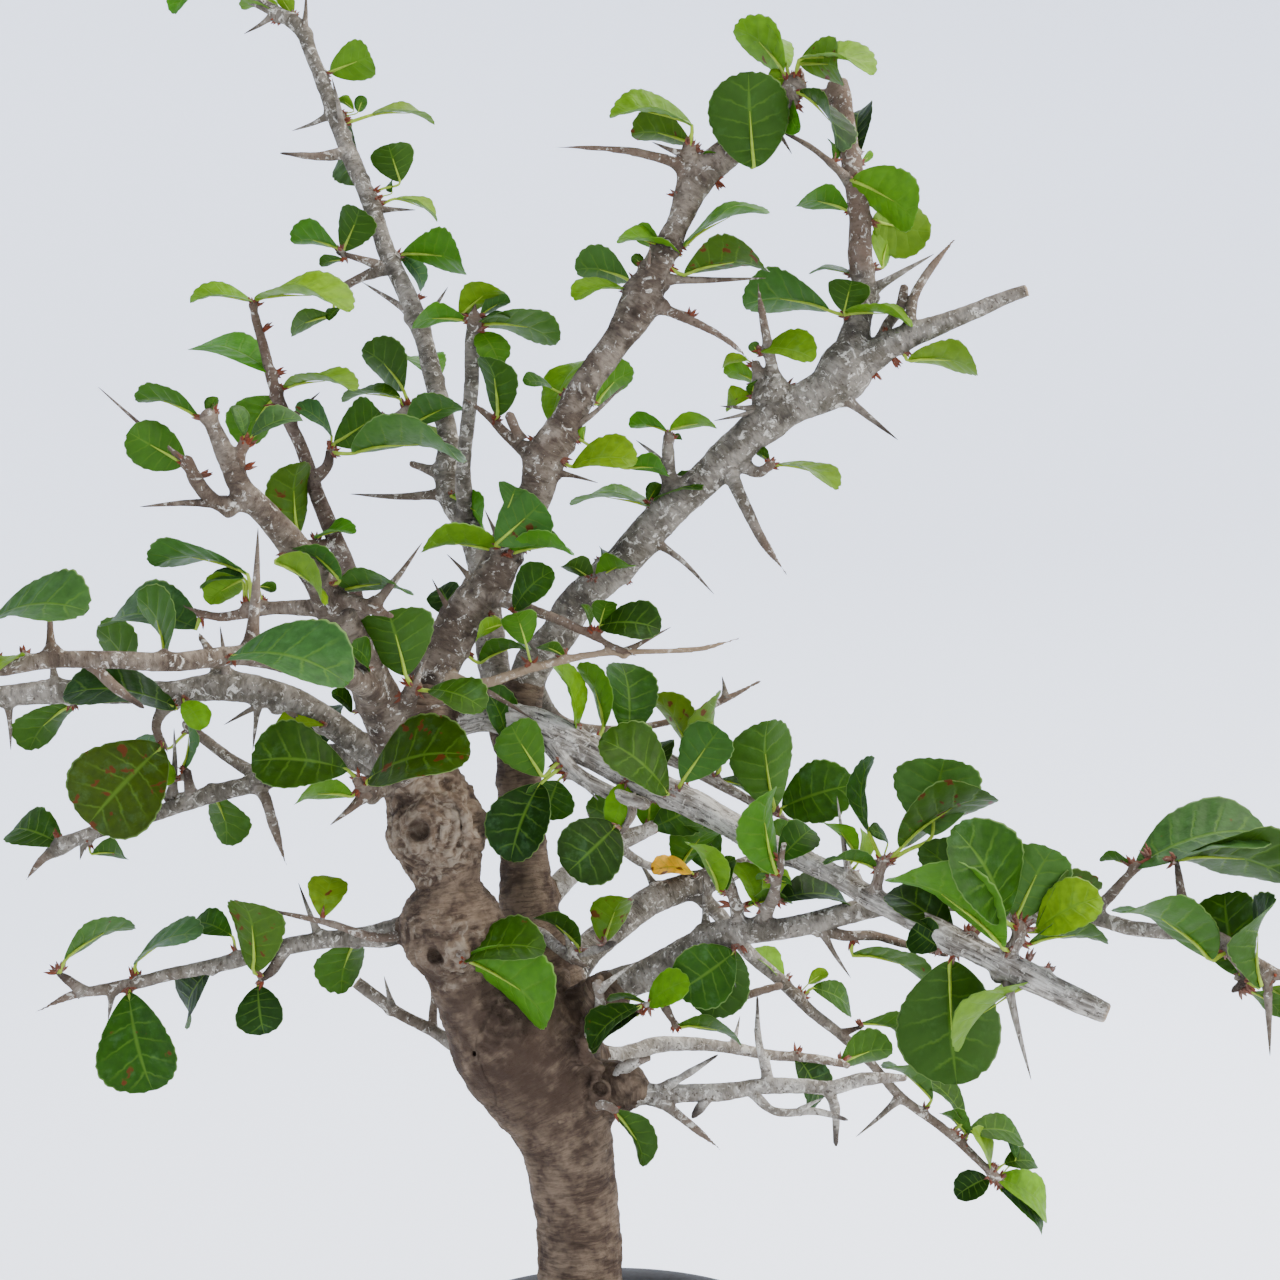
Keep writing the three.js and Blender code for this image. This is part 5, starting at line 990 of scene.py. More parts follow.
@dataclass(frozen=True)
class Bark:
    """Living bark, thin and dry, with corky wrinkles and flecks of crust lichen.

    Bark is rough and has no gloss, so its roughness is near 0.9 and its specular level low. Its hues
    are greys and browns that run into each other over about 7 mm, its wrinkles are under 1 mm, and its
    lichen is in flecks of 1 to 3 mm. Sunken bark is painted darker as shade and raised bark lighter as
    highlight, scar pits and patches of the trunk's flare get painted shade, and burls are mottled cream.
    """

    name: str
    dark: str
    mid: str
    light: str
    crust: str = "#bcb7aa"
    young: str = "#5c4a3c"
    crust_share: float = 0.35
    speck_share: float = 0.3
    around: float = 2.6
    along: float = 0.9
    streak: float = 0.5
    patch: float = 7.0

    def dress(self) -> bpy.types.Material:
        """Makes the material: layers of colour, each mixed in where its pattern or mark passes a value."""
        material, tree = blank(self.name)
        where = add(tree, "TexCoord").outputs["Object"]
        grain, marks, skin = [add(tree, "Attribute", attribute_name=n) for n in ("grain", "marks", "skin")]
        young, thorn, bud = add(tree, "SeparateColor", {0: marks.outputs["Color"]}).outputs
        relief, sawn, burl = add(tree, "SeparateXYZ", {0: skin.outputs["Vector"]}).outputs
        patches, crust, specks, knots = [
            add(tree, "TexNoise", {"Vector": where, **spread(*kind)})
            for kind in ((self.patch, 3, 0.6), (2.4, 4, 0.75, 0.8), (1.1, 2, 0.7), (3.0, 4, 0.6, 1.2))
        ]
        scale = (1 / (self.around * MM), 1 / (self.around * MM), 1 / (self.along * MM))
        fibres = add(tree, "Mapping", {"Vector": grain.outputs["Vector"], "Scale": scale})
        wrinkles = add(tree, "TexNoise", {"Vector": fibres, **spread(1 / MM, 4, 0.65, 0.4)})
        ridged = add(tree, "Math", {0: relief, 1: 0.11, 2: knots}, operation="MULTIPLY_ADD")
        pale_knots = add(tree, "Math", {0: ridged, 1: burl}, operation="MULTIPLY")
        dark_knots = add(tree, "Math", {0: burl, 1: pale_knots}, operation="SUBTRACT")
        colour = add(tree, "RGB")
        colour.outputs[0].default_value = linear(self.mid)
        lichen = 0.61 - 0.14 * self.crust_share
        dots = 0.665 - 0.12 * self.speck_share
        for source, start, end, most, over in (
            (patches, 0.42, 0.6, 0.9, self.light), (wrinkles, 0.56, 0.34, self.streak, self.dark),
            (wrinkles, 0.56, 0.7, self.streak, self.light), (young, 0.0, 1.0, 1.0, self.young),
            (pale_knots, 0.54, 0.74, 0.7, "#8f8573"), (dark_knots, 0.48, 0.64, 0.75, "#2a2119"),
            # Painted highlight on raised bark and painted shade on sunken bark, both taken from the relief.
            (relief, 0.25, 1.0, 0.45, self.light), (relief, -0.1, -0.9, 0.9, self.dark),
            (crust, lichen, lichen + 0.07, 0.8, self.crust), (specks, dots, dots + 0.06, 0.75, "#3a3028"),
            (thorn, 0.3, 1.0, 0.95, "#2c241f"), (bud, 0.0, 1.0, 1.0, "#68301c"),
            # The marks' alpha is painted shade, laid on as dark brown in the scar pits and on the trunk's
            # flare.
            (sawn, 0.1, 0.9, 0.85, "#a58f70"), (marks.outputs["Alpha"], 0.0, 1.0, 0.9, "#34281f"),
        ):
            share = add(tree, "MapRange", {0: source, 1: start, 2: end, 4: most})
            colour = add(tree, "Mix", {0: share, 6: colour, 7: linear(over)}, data_type="RGBA")
        height = add(tree, "Math", {0: pale_knots, 1: 1.5}, operation="MULTIPLY")
        for source, weight in ((wrinkles, 1.0), (crust, 0.8), (specks, 0.5)):
            height = add(tree, "Math", {0: source, 1: weight, 2: height}, operation="MULTIPLY_ADD")
        bump = add(tree, "Bump", {"Height": height, "Strength": 0.8, "Distance": 0.7 * MM})
        shader = add(tree, "BsdfPrincipled", {
            "Base Color": colour, "Roughness": 0.88, "Specular IOR Level": 0.12, "Normal": bump})
        add(tree, "OutputMaterial", {0: shader})
        return material


TRUNK_BARK = Bark("smooth_trunk_bark", "#18110c", "#43362b", "#6b5b4a", crust_share=-0.7, speck_share=-0.3,
                  around=4.0, along=0.7, streak=0.55, patch=6.0)
GREY_BARK = Bark("grey_bough_bark", "#26211c", "#565045", "#827b6f", crust_share=0.35)
BROWN_BARK = Bark("brown_bough_bark", "#211a14", "#4b4035", "#766b5d", crust_share=0.2, speck_share=0.35)
ROUGH_BARK = Bark("fissured_bough_bark", "#2a231d", "#777065", "#b5b0a4", crust_share=0.4, around=0.8,
                  along=6.0, streak=0.9)
DEAD_BARK = Bark("dead_lichened_bark", "#3a332c", "#787165", "#a9a498", crust_share=0.6, speck_share=0.5)
SHOOT_BARK = Bark("young_shoot_bark", "#261d17", "#493b31", "#6a5e53", crust_share=0.25)


class Tone(Enum):
    """How a leaf looks from the front: the letter that the tables give it, and the colour of its face, some
    tones with painted light and shade.
    """

    # Green with painted shade.
    DARK = ("d", "#1c3a05")
    MID = ("m", "#2b5205")
    # Green with painted light from above.
    BRIGHT = ("b", "#3f7806")
    # Green with a painted glow of light coming through the leaf.
    YELLOW = ("y", "#629004")
    OLIVE = ("o", "#324e03")
    # Green with a painted sky reflection: a pale bluish sheen.
    PALE = ("p", "#3a6430")
    SPOTTED = ("s", "#5a7a04")
    GOLDEN = ("g", "#dcb016")

    @property
    def colour(self) -> np.ndarray:
        """Linear red, green and blue."""
        return np.array(linear(self.value[1])[:3])

    @staticmethod
    def of(letter: str) -> "Tone":
        """The tone that a letter stands for."""
        return next(tone for tone in Tone if tone.value[0] == letter)


@dataclass(frozen=True)
class LeafFlesh:
    """A thick living leaf with a thin waxy skin.

    The wax gives a soft sky-coloured gloss, so roughness is about 0.4, and light that meets the far
    face comes through yellower and brighter. The midrib and the side veins are a little paler, the rim
    is a thin pale line, the wax is cloudy in patches of 4 mm, and the flesh swells between the veins.
    """

    name: str = "leaf_flesh"
    vein: str = "#5f8428"
    rim: str = "#7a9a55"
    wax: str = "#5f8560"
    under: str = "#486e20"
    spot: str = "#5b2c12"
    side_veins: float = 7.0

    def dress(self) -> bpy.types.Material:
        """Makes the material from each leaf's colour, painted light and shade of its tone included, and its
        place on the blade.
        """
        material, tree = blank(self.name)
        where = add(tree, "TexCoord").outputs["Object"]
        own, blade = [add(tree, "Attribute", attribute_name=n) for n in ("own", "blade")]
        up, across, below = add(tree, "SeparateXYZ", {0: blade.outputs["Vector"]}).outputs
        out = add(tree, "Math", {0: across}, operation="ABSOLUTE")
        mottle, cloud, blots = [
            add(tree, "TexNoise", {"Vector": where, **spread(*kind)})
            for kind in ((2.2, 2), (4.5, 4, 0.7), (3.6, 2))
        ]
        midrib = add(tree, "MapRange", {0: out, 1: 0.07, 2: 0.02, 4: 0.48})
        count = add(tree, "Math", {0: mottle, 1: 0.35, 2: -0.17}, operation="MULTIPLY_ADD")
        count = add(tree, "Math", {0: up, 1: self.side_veins, 2: count}, operation="MULTIPLY_ADD")
        saw = add(tree, "Math", {0: count, 1: 0.5}, operation="PINGPONG")
        line = add(tree, "MapRange", {0: saw, 1: 0.09, 2: 0.02, 4: 0.34})
        fade = add(tree, "MapRange", {0: out, 1: 0.95, 2: 0.4})
        side = add(tree, "Math", {0: line, 1: fade}, operation="MULTIPLY")
        veins = add(tree, "Math", {0: midrib, 1: side}, operation="MAXIMUM")
        shade = add(tree, "MapRange", {0: mottle, 1: 0.3, 2: 0.7, 3: 0.8, 4: 1.2})
        # A leaf's colour holds the painted light and shade of its tone.
        colour = add(tree, "VectorMath", {0: own.outputs["Color"], "Scale": shade}, operation="SCALE")
        spots = add(tree, "Math", {0: blots, 1: own.outputs["Alpha"]}, operation="MULTIPLY")
        for source, start, end, most, over in (
            (cloud, 0.54, 0.74, 0.22, self.wax), (below, 0.0, 1.0, 0.4, self.under),
            (veins, 0.0, 1.0, 1.0, self.vein), (out, 0.955, 0.99, 0.7, self.rim),
            (spots, 0.62, 0.66, 0.9, self.spot),
        ):
            share = add(tree, "MapRange", {0: source, 1: start, 2: end, 4: most})
            colour = add(tree, "Mix", {0: share, 6: colour, 7: linear(over)}, data_type="RGBA")
        swell = add(tree, "Math", {0: veins, 1: -1.6, 2: mottle}, operation="MULTIPLY_ADD")
        bump = add(tree, "Bump", {"Height": swell, "Strength": 0.5, "Distance": 0.4 * MM})
        gloss = add(tree, "MapRange", {0: cloud, 1: 0.35, 2: 0.7, 3: 0.38, 4: 0.6})
        face = add(tree, "BsdfPrincipled", {
            "Base Color": colour, "Roughness": gloss, "Specular IOR Level": 0.11, "Normal": bump})
        lit = add(tree, "VectorMath", {0: colour, 1: (2.4, 1.9, 0.4)}, operation="MULTIPLY")
        through = add(tree, "BsdfTranslucent", {"Color": lit})
        both = add(tree, "MixShader", {0: 0.36, 1: face, 2: through})
        add(tree, "OutputMaterial", {0: both})
        return material


@dataclass
class Leaf:
    """One leaf: a petiole and a toothed, cupped and arched blade, set where the CAD solid's leaf is."""

    root: Root
    row: list[float]
    index: int
    tone: Tone
    rng: np.random.Generator

    def outline(self, t: np.ndarray, length: float, broad: float, shape: tuple, teeth: int) -> np.ndarray:
        """One margin: half-width s^a (1 - s^b)^0.5 over its greatest value, pushed out by rounded teeth.

        Args:
            t: from 0 at the base to 1 at the tip, evenly along the margin.
            length: the blade's length.
            broad: its full width.
            shape: a, how wedge-shaped the base is, and b, how blunt the tip is.
            teeth: the number of teeth on this side.

        Returns:
            For each point of the margin, how far along and how far across it lies.
        """
        a, b = shape
        s = (1 - np.cos(math.pi * t)) / 2
        widest = (a / (a + b / 2)) ** (1 / b)
        half = s**a * np.sqrt(1 - s**b) / (widest**a * math.sqrt(1 - widest**b)) * broad / 2
        place = np.stack([s * length, half], axis=1)
        run = unit(np.gradient(place, axis=0))
        out = np.stack([-run[:, 1], run[:, 0]], axis=1)
        travelled = np.concatenate([[0], np.cumsum(np.linalg.norm(np.diff(place, axis=0), axis=1))])
        phase = travelled / travelled[-1] * teeth + self.rng.uniform(0, 1)
        cut = np.abs(np.sin(math.pi * phase)) ** 0.6 - 0.55
        depth = np.clip((t - 0.28) / 0.15, 0, 1) * np.clip((1 - t) / 0.05, 0, 1) * min(0.035 * length, 0.6)
        return place + out * (cut * depth)[:, None]

    def grow(self, shell: Shell) -> None:
        """Adds the leaf to a mesh: rows run from the midrib out to the margin, as its side veins do."""
        x, z, tip_x, tip_z, width = self.row[:5]
        run = self.row[5] if len(self.row) > 5 else ((self.index * GOLDEN) % 1 - 0.5) * 8
        lift = self.row[6] if len(self.row) > 6 else 0
        rng = self.rng
        base = placed(x, z, self.root.depth + lift)
        tip = placed(tip_x, tip_z, self.root.depth + lift + run)
        seen = width * (1 + self.root.depth / EYE_DISTANCE)
        along = tip - base
        length = float(np.linalg.norm(along))
        along = along / length
        flat = unit(np.array([-along[2], 0, along[0]]))
        broad = max(seen, LEAF_PROPORTION * length)
        roll = math.acos(min(1, seen / broad)) * (-1 if self.index % 2 else 1)
        across = flat * math.cos(roll) + unit(np.cross(along, flat)) * math.sin(roll)
        normal = np.cross(along, across)
        turned = normal[2] < 0
        if turned:
            normal = -normal
        size = max(length, broad)
        teeth = int(np.clip(size * 0.62, 5, 13))
        rows = int(np.clip(teeth * 3, 14, 38))
        t = np.arange(1, rows) / rows
        v = np.array([0.0, 0.3, 0.62, 0.94, 1.0] if size > 7 else [0.0, 0.55, 1.0])
        v = np.concatenate([-v[:0:-1], v])
        share = np.abs(v)[None, :]
        shape = (rng.uniform(0.5, 0.72), rng.uniform(1.9, 3.1))
        knots = np.concatenate([[0], t, [1]])
        left, right = [self.outline(knots, length, broad, shape, teeth)[1:-1] for _ in range(2)]
        middle = (t - 0.12 * np.sin(math.pi * t))[:, None] * length
        margin = np.where(v[None, :, None] < 0, left[:, None] * [1, -1], right[:, None])
        s = middle * (1 - share) + margin[..., 0] * share
        h = margin[..., 1] * share
        reach = np.abs(h) * 2 / broad
        wave, turn, cup = rng.uniform(0.015, 0.045), rng.uniform(0, 2 * math.pi), rng.uniform(0.05, 0.15)
        height = cup * broad * (0.6 * reach + 0.8 * reach**2)
        height = height + LEAF_ARCH * length * 4 * (s / length) * (1 - s / length)
        height += wave * length * np.sin(7 * s / length + turn + 1.3 * np.sign(v)[None, :]) * reach**2
        height -= 0.25 * length * np.clip(s / length - 0.6, 0, 1) ** 2
        height += 0.01 * length * np.cos(14 * math.pi * t)[:, None] * 4 * share * (1 - share)
        sheet = base + s[..., None] * along + h[..., None] * across + height[..., None] * normal
        thick = BLADE_THICKNESS / 2 * (1 - share**6)[..., None] * normal * np.ones((rows - 1, 1, 1))
        wide = len(v)
        top = (sheet + thick).reshape(-1, 3)
        under = (sheet - thick)[:, 1:-1].reshape(-1, 3)
        fall = normal * (0.04 * length)
        points = np.concatenate([top, under, base[None], (tip - fall)[None]])
        blade = [
            np.stack([np.repeat(t, len(u)), np.tile(u, len(t)), np.full(len(u) * len(t), side)], axis=1)
            for u, side in ((v, 0.0), (v[1:-1], 1.0))
        ]
        shell.add(points, self.faces(rows - 1, wide, turned), own=self.tint(),
                  blade=np.concatenate([*blade, [[0, 0, 0], [1, 0, 0]]]))
        self.stalk(shell, base, along, normal, length)

    @staticmethod
    def faces(rows: int, wide: int, turned: bool) -> list[np.ndarray]:
        """The quads of the blade's two faces, which share their margin, with fans to its base and its tip.

        Args:
            rows: the number of rows from the base to the tip.
            wide: the number of points across.
            turned: whether the grid's upper face is the leaf's lower one.

        Returns:
            Blocks of faces, all facing out.
        """
        grid = np.arange(rows * wide).reshape(rows, wide)
        low = grid.copy()
        low[:, 1:-1] = rows * wide + np.arange(rows * (wide - 2)).reshape(rows, wide - 2)
        start = low.max() + 1
        blocks = []
        for face, flip in ((grid, turned), (low, not turned)):
            corners = [face[:-1, :-1], face[1:, :-1], face[1:, 1:], face[:-1, 1:]]
            foot = np.stack([np.full(wide - 1, start), face[0, :-1], face[0, 1:]], axis=1)
            head = np.stack([np.full(wide - 1, start + 1), face[-1, 1:], face[-1, :-1]], axis=1)
            quads = np.stack(corners, axis=-1).reshape(-1, 4)
            blocks += [part[:, ::-1] if flip else part for part in (quads, foot, head)]
        return blocks

    def tint(self) -> np.ndarray:
        """The leaf's colour, drawn round its tone with the painted light and shade that some tones hold, and
        its share of blots as alpha.
        """
        rng = self.rng
        shade = rng.uniform(0.66, 0.98)
        tint = self.tone.colour * shade * np.array([rng.uniform(0.9, 1.35), 1, rng.uniform(0.8, 1.2)])
        spotted = self.tone in (Tone.SPOTTED, Tone.OLIVE, Tone.GOLDEN)
        return np.append(tint, 1.0 if spotted else rng.uniform(0.5, 0.93))

    def stalk(
        self, shell: Shell, base: np.ndarray, along: np.ndarray, normal: np.ndarray, length: float
    ) -> None:
        """Adds the petiole, from inside the wood to under the midrib, which it follows as it tapers."""
        thick = float(np.clip(0.035 * length, 0.22, 0.55))
        reach, far = 0.16 * length, 0.6 * length
        points = np.array([
            self.root.point, (self.root.point + base) / 2 - normal * 0.15, base - normal * thick * 0.4,
            base + along * reach + normal * (0.54 * LEAF_ARCH * length - thick * 0.6),
            base + along * far + normal * (0.96 * LEAF_ARCH * length - 0.2),
        ])
        radii = np.array([thick * 1.25, thick, thick * 0.9, thick * 0.75, 0.1])
        keep = [0] + [i for i in range(1, 5) if np.linalg.norm(points[i] - points[i - 1]) > 0.3]
        shape, _, faces = tube(Path.through(points[keep], radii[keep], max(length / 12, 0.7)), 5)
        shell.add(shape, faces, blade=np.array([[0.5, 0.5, 0.0]]), own=np.append(linear("#8fa83c")[:3], 0))


class Habit(Enum):
    """How a piece of wood has aged: its bark, and how high its lumps, rings and furrows are in mm."""

    TRUNK = (TRUNK_BARK, 0.55, 0.22, 0.0)
    GREY = (GREY_BARK, 0.3, 0.14, 0.0)
    BROWN = (BROWN_BARK, 0.28, 0.12, 0.0)
    ROUGH = (ROUGH_BARK, 0.3, 0.05, 0.5)
    DEAD = (DEAD_BARK, 0.45, 0.2, 0.0)
    SHOOT = (SHOOT_BARK, 0.16, 0.1, 0.0)


HABITS = {
    "bough_left_near": Habit.BROWN, "bough_top_centre": Habit.BROWN, "bough_top_left": Habit.GREY,
    "bough_left_slender": Habit.SHOOT, "bough_right": Habit.ROUGH, "twig_right_dead": Habit.DEAD,
    "twig_right_back": Habit.DEAD, "bough_back_pale": Habit.DEAD, "shoot_trunk_front": Habit.DEAD,
    "shoot_trunk_right": Habit.DEAD,
}


@dataclass
class Wood:
    """The wood of one piece: its thick stems as one blended surface, and its twigs, thorns and buds."""

    habit: Habit
    routes: list[list[list[float]]]
    thorns: list[list[float]] = field(default_factory=list)
    leaves: list[list[float]] = field(default_factory=list)
    buds: list[list[float]] = field(default_factory=list)
    sawn: tuple[int, ...] = ()
    dry: tuple[int, ...] = ()
    brown_above: float = math.inf
    pitch: float = 0.63
    fillet: float = 1.6
    collars: list[Path] = field(default_factory=list)
    balls: tuple = ()
    rings: tuple = ()
    pits: tuple = ()
    knurls: tuple = ()
    shaded_patches: tuple = ()
    seed: int = 1

    def relief(self, points: np.ndarray, grain: np.ndarray, radius: np.ndarray) -> np.ndarray:
        """How far the bark stands out: lumps as broad as the stem, rings across it and furrows along it.

        Args:
            points: places on the bark.
            grain: the same places as distances round and along the stem.
            radius: the stem's radius there.

        Returns:
            Heights in millimetres.
        """
        _, lump, ring, furrow = self.habit.value
        small = np.clip(radius / 4, 0.25, 1)
        height = lump * small * layered(points, 5.5, self.seed)
        height += lump * 0.5 * small * layered(points, 1.9, self.seed + 7)
        bent = grain[:, 2] + 1.2 * noise(points, 6, self.seed + 3)
        ringed = np.stack([grain[:, 0] / 3.2, grain[:, 1] / 3.2, bent / 0.9], axis=1)
        height += ring * small * layered(ringed, 1.0, self.seed + 11, 2)
        if furrow:
            split = np.stack([grain[:, 0] / 0.8, grain[:, 1] / 0.8, grain[:, 2] / 7], axis=1)
            ridged = 1 - 2.4 * np.abs(layered(split, 1.0, self.seed + 17, 2))
            height += furrow * small * np.clip(ridged, -1.2, 0.6)
        clear = np.ones(len(points))
        for x, z, depth, wide in self.pits:
            away = away_from(points, placed(x, z, depth)) / wide
            clear = np.minimum(clear, np.clip(away - 1, 0, 1))
        for x, z, depth, reach, _ in self.knurls:
            away = away_from(points, placed(x, z, depth))
            share = np.clip(2.2 - 1.8 * away / reach, 0, 1) * clear
            ripple = np.sin(2 * math.pi * (away + 1.5 * noise(points, 4.5, self.seed + 23)) / 2.2)
            height += share * (0.3 * ripple + 0.5 - 1.7 * np.abs(layered(points, 5.0, self.seed + 29, 2)))
        return height

    def burl(self, points: np.ndarray) -> np.ndarray:
        """How burled the bark is, from 0 to 1: it falls off with the distance from each knurl."""
        most = np.zeros(len(points))
        for x, z, depth, reach, pale in self.knurls:
            away = away_from(points, placed(x, z, depth))
            most = np.maximum(most, pale * np.clip(2.6 - 1.8 * away / reach, 0, 1))
        return most

    def grow(self) -> Shell:
        """Builds every part of the wood into one mesh."""
        shell = Shell()
        paths = [path_of(route, 0.8) for route in self.routes]
        dry = [DRYNESS * (i in self.dry) for i in range(len(paths))]
        thick = [i for i, route in enumerate(self.routes) if max(row[3] for row in route) >= TWIG_RADIUS]
        if thick:
            self.stems(shell, [paths[i] for i in thick], [dry[i] for i in thick] + [0.0] * len(self.collars))
        for i, path in enumerate(paths):
            if i not in thick:
                self.twig(shell, path, dry[i])
        rng = np.random.default_rng(self.seed)
        for row in self.thorns:
            self.thorn(shell, row, rng)
        for row in self.leaves + self.buds:
            self.bud(shell, row, rng)
        return shell

    def lattice(self, thick: list[Path], cuts: list[Path]) -> WoodField:
        """The thick stems as a lattice of distances, with their collars, knots, rings, pits and cuts."""
        low = np.min([(p.points - p.radii[:, None]).min(0) for p in thick], axis=0) - 3
        high = np.max([(p.points + p.radii[:, None]).max(0) for p in thick], axis=0) + 3
        wood = WoodField(low, high, self.pitch)
        for path in sorted(thick, key=lambda p: -p.radii.max()):
            wood.stem(path, self.fillet)
        for path in self.collars:
            wood.stem(path, 3.0)
        for row in self.thorns + self.leaves:
            root = nearest_wood(self.routes, row[0], row[1])
            out = unit(placed(row[0], row[1], root.depth) - root.point + 1e-6)
            size = 0.9 if row in self.leaves else row[4] * 1.25
            wood.ball(root.point + out * root.radius * 0.9, size, 1.2)
        for x, z, depth, radius in self.balls:
            wood.ball(placed(x, z, depth), radius, 1.4)
        for x, z, depth, axis, radius, tube_radius in self.rings:
            wood.ring(placed(x, z, depth), unit(np.array(axis, float)), radius, tube_radius, 0.8)
        for x, z, depth, radius in self.pits:
            wood.pit(placed(x, z, depth), radius, 0.6)
        for path in cuts:
            wood.saw(path.points[-1], path.tangent[-1], 2 * path.radii[-1] + 2)
        return wood

    def stems(self, shell: Shell, thick: list[Path], dry: list[float]) -> None:
        """Adds the thick stems and collars as one surface, and the relief and the marks of their bark,
        painted shade among them.
        """
        cuts = [path_of(self.routes[i], 0.8) for i in self.sawn]
        ends = [(path.points[-1], path.radii[-1]) for path in cuts]
        points, faces = self.lattice(thick, cuts).surface()
        paths = thick + self.collars
        samples, radii, side, up, tangent = [
            np.concatenate([getattr(path, key) for path in paths])
            for key in ("points", "radii", "side", "up", "tangent")
        ]
        along = np.concatenate([path.along + 40 * i for i, path in enumerate(paths)])
        if self.habit is Habit.TRUNK:
            along = along + 0.35 * samples[:, 0]
        near = np.empty(len(points), int)
        for start in range(0, len(points), BATCH):
            part = points[start:start + BATCH]
            away = np.sqrt(((part[:, None] - samples[None]) ** 2).sum(2)) - radii[None]
            near[start:start + BATCH] = away.argmin(1)
        offset = points - samples[near]
        turn = np.arctan2((offset * up[near]).sum(1), (offset * side[near]).sum(1))
        grain = np.stack([np.cos(turn) * radii[near], np.sin(turn) * radii[near],
                          along[near] + (offset * tangent[near]).sum(1)], axis=1)
        normals = facing(points, faces)
        height = self.relief(points, grain, radii[near])
        flat = np.zeros(len(points))
        for end, radius in ends:
            flat = np.maximum(flat, (away_from(points, end) < radius * 1.25) * 1.0)
        # Painted shade: the bark is darkened in and round each scar's pit, and in mottled patches over the
        # flare.
        painted_shade = np.zeros(len(points))
        for x, z, depth, radius in self.pits:
            away = away_from(points, placed(x, z, depth)) / radius
            painted_shade = np.maximum(painted_shade, np.clip(1.6 - away, 0, 1))
        points = points + normals * (height * (1 - 0.8 * flat))[:, None]
        # Mottled painted shade over each shaded patch of the flare.
        for x, z, depth, reach in self.shaded_patches:
            away = away_from(points, placed(x, z, depth)) / reach
            patchy = np.clip(0.85 + 1.6 * layered(points, 3.2, self.seed + 31), 0, 1)
            painted_shade = np.maximum(painted_shade, np.clip(1.6 - away, 0, 1) * patchy)
        brown = np.clip((points[:, 2] - self.brown_above) / 8, 0, 0.8)
        marks = np.zeros((len(points), 4))
        marks[:, 0] = np.maximum(np.clip((1.9 - radii[near]) / 1.2, 0, 0.7), brown)
        marks[:, 3] = painted_shade
        scale = max(self.habit.value[1] + self.habit.value[3], 0.2)
        shares = np.concatenate([np.full(len(path.points), share) for path, share in zip(paths, dry)])
        skin = np.stack([height / scale, shares[near], self.burl(points)], axis=1)
        # The rings round the scars are set high in the relief channel, so they get its painted highlight.
        for x, z, depth, axis, radius, tube_radius in self.rings:
            offset, axle = points - placed(x, z, depth), unit(np.array(axis, float))
            rise = offset @ axle
            away = np.hypot(np.sqrt(np.maximum((offset**2).sum(1) - rise**2, 0)) - radius, rise)
            skin[:, 0] = np.maximum(skin[:, 0], 1.3 * np.clip(1.5 - away / tube_radius, 0, 1))
        for end, radius in ends:
            bare = np.clip(2.2 - 2 * away_from(points, end) / radius, 0, 0.9)
            skin[:, 1] = np.maximum(skin[:, 1], bare)
        shell.add(points, faces, grain=grain * MM, marks=marks, skin=skin)

    def twig(self, shell: Shell, path: Path, dry: float) -> None:
        """Adds a thin twig as a tube whose foot flares, with small knots along it."""
        knots = noise(np.stack([path.along, 0 * path.along, 0 * path.along], axis=1), 2.6, self.seed + 5)
        path.radii = path.radii * (1 + 0.14 * knots) + 0.5 * path.radii[0] * np.exp(-path.along / 1.6)
        path.radii[-1] *= 0.35
        points, sample, faces = tube(path, 9)
        offset = points - path.points[sample]
        turn = np.arctan2((offset * path.up[sample]).sum(1), (offset * path.side[sample]).sum(1))
        radius = path.radii[sample]
        grain = np.stack([np.cos(turn) * radius, np.sin(turn) * radius, path.along[sample]], axis=1)
        height = self.relief(points, grain, radius) * 0.7
        points = points + unit(offset + TINY) * height[:, None]
        marks = np.zeros((len(points), 4))
        marks[:, 0] = np.clip((1.9 - radius) / 1.2, 0, 0.6) if self.habit is not Habit.DEAD else 0.1
        slim = path.radii[-1] < 0.4
        marks[:, 1] = np.clip(1.2 - (path.along[-1] - path.along[sample]) / 7, 0, 0.9) if slim else 0
        skin = np.stack([height / 0.2, 0 * height + dry, 0 * height], axis=1)
        shell.add(points, faces, grain=grain * MM, marks=marks, skin=skin)

    def thorn(self, shell: Shell, row: list[float], rng: np.random.Generator) -> None:
        """Adds a thorn: a slender cone with a broad foot, a slight bow and a dark point."""
        x, z, tip_x, tip_z, radius, run = row
        root = nearest_wood(self.routes, x, z)
        radius = radius * (1 + root.depth / EYE_DISTANCE)
        tip = placed(tip_x, tip_z, root.depth + run)
        foot = root.point
        bow = rng.normal(0, 0.02, 3) * np.linalg.norm(tip - foot)
        line = np.array([foot, (foot + tip) / 2 + bow, tip])
        path = Path.through(line, np.array([radius, radius * 0.55, 0.07]), 0.9)
        t = path.along / path.along[-1]
        flare = np.exp(-np.maximum(path.along - root.radius, 0) / 1.2)
        path.radii = radius * (1 - t) ** 0.85 + 0.06 + 0.5 * radius * flare
        path.radii[-1] = 0.05
        points, sample, faces = tube(path, 8)
        marks = np.zeros((len(points), 4))
        marks[:, 0] = rng.uniform(0, 0.36)
        marks[:, 1] = np.clip(t[sample] * 1.5 - 0.5, 0, 1) * rng.uniform(0.4, 1)
        grain = np.stack([points[:, 0], points[:, 1], path.along[sample] * 0.3], axis=1)
        height = 0.12 * radius * layered(points, 1.6, self.seed + 9) * (1 - t[sample])
        points = points + unit(points - path.points[sample] + TINY) * height[:, None]
        shell.add(points, faces, grain=grain * MM, marks=marks, skin=np.zeros((1, 3)))

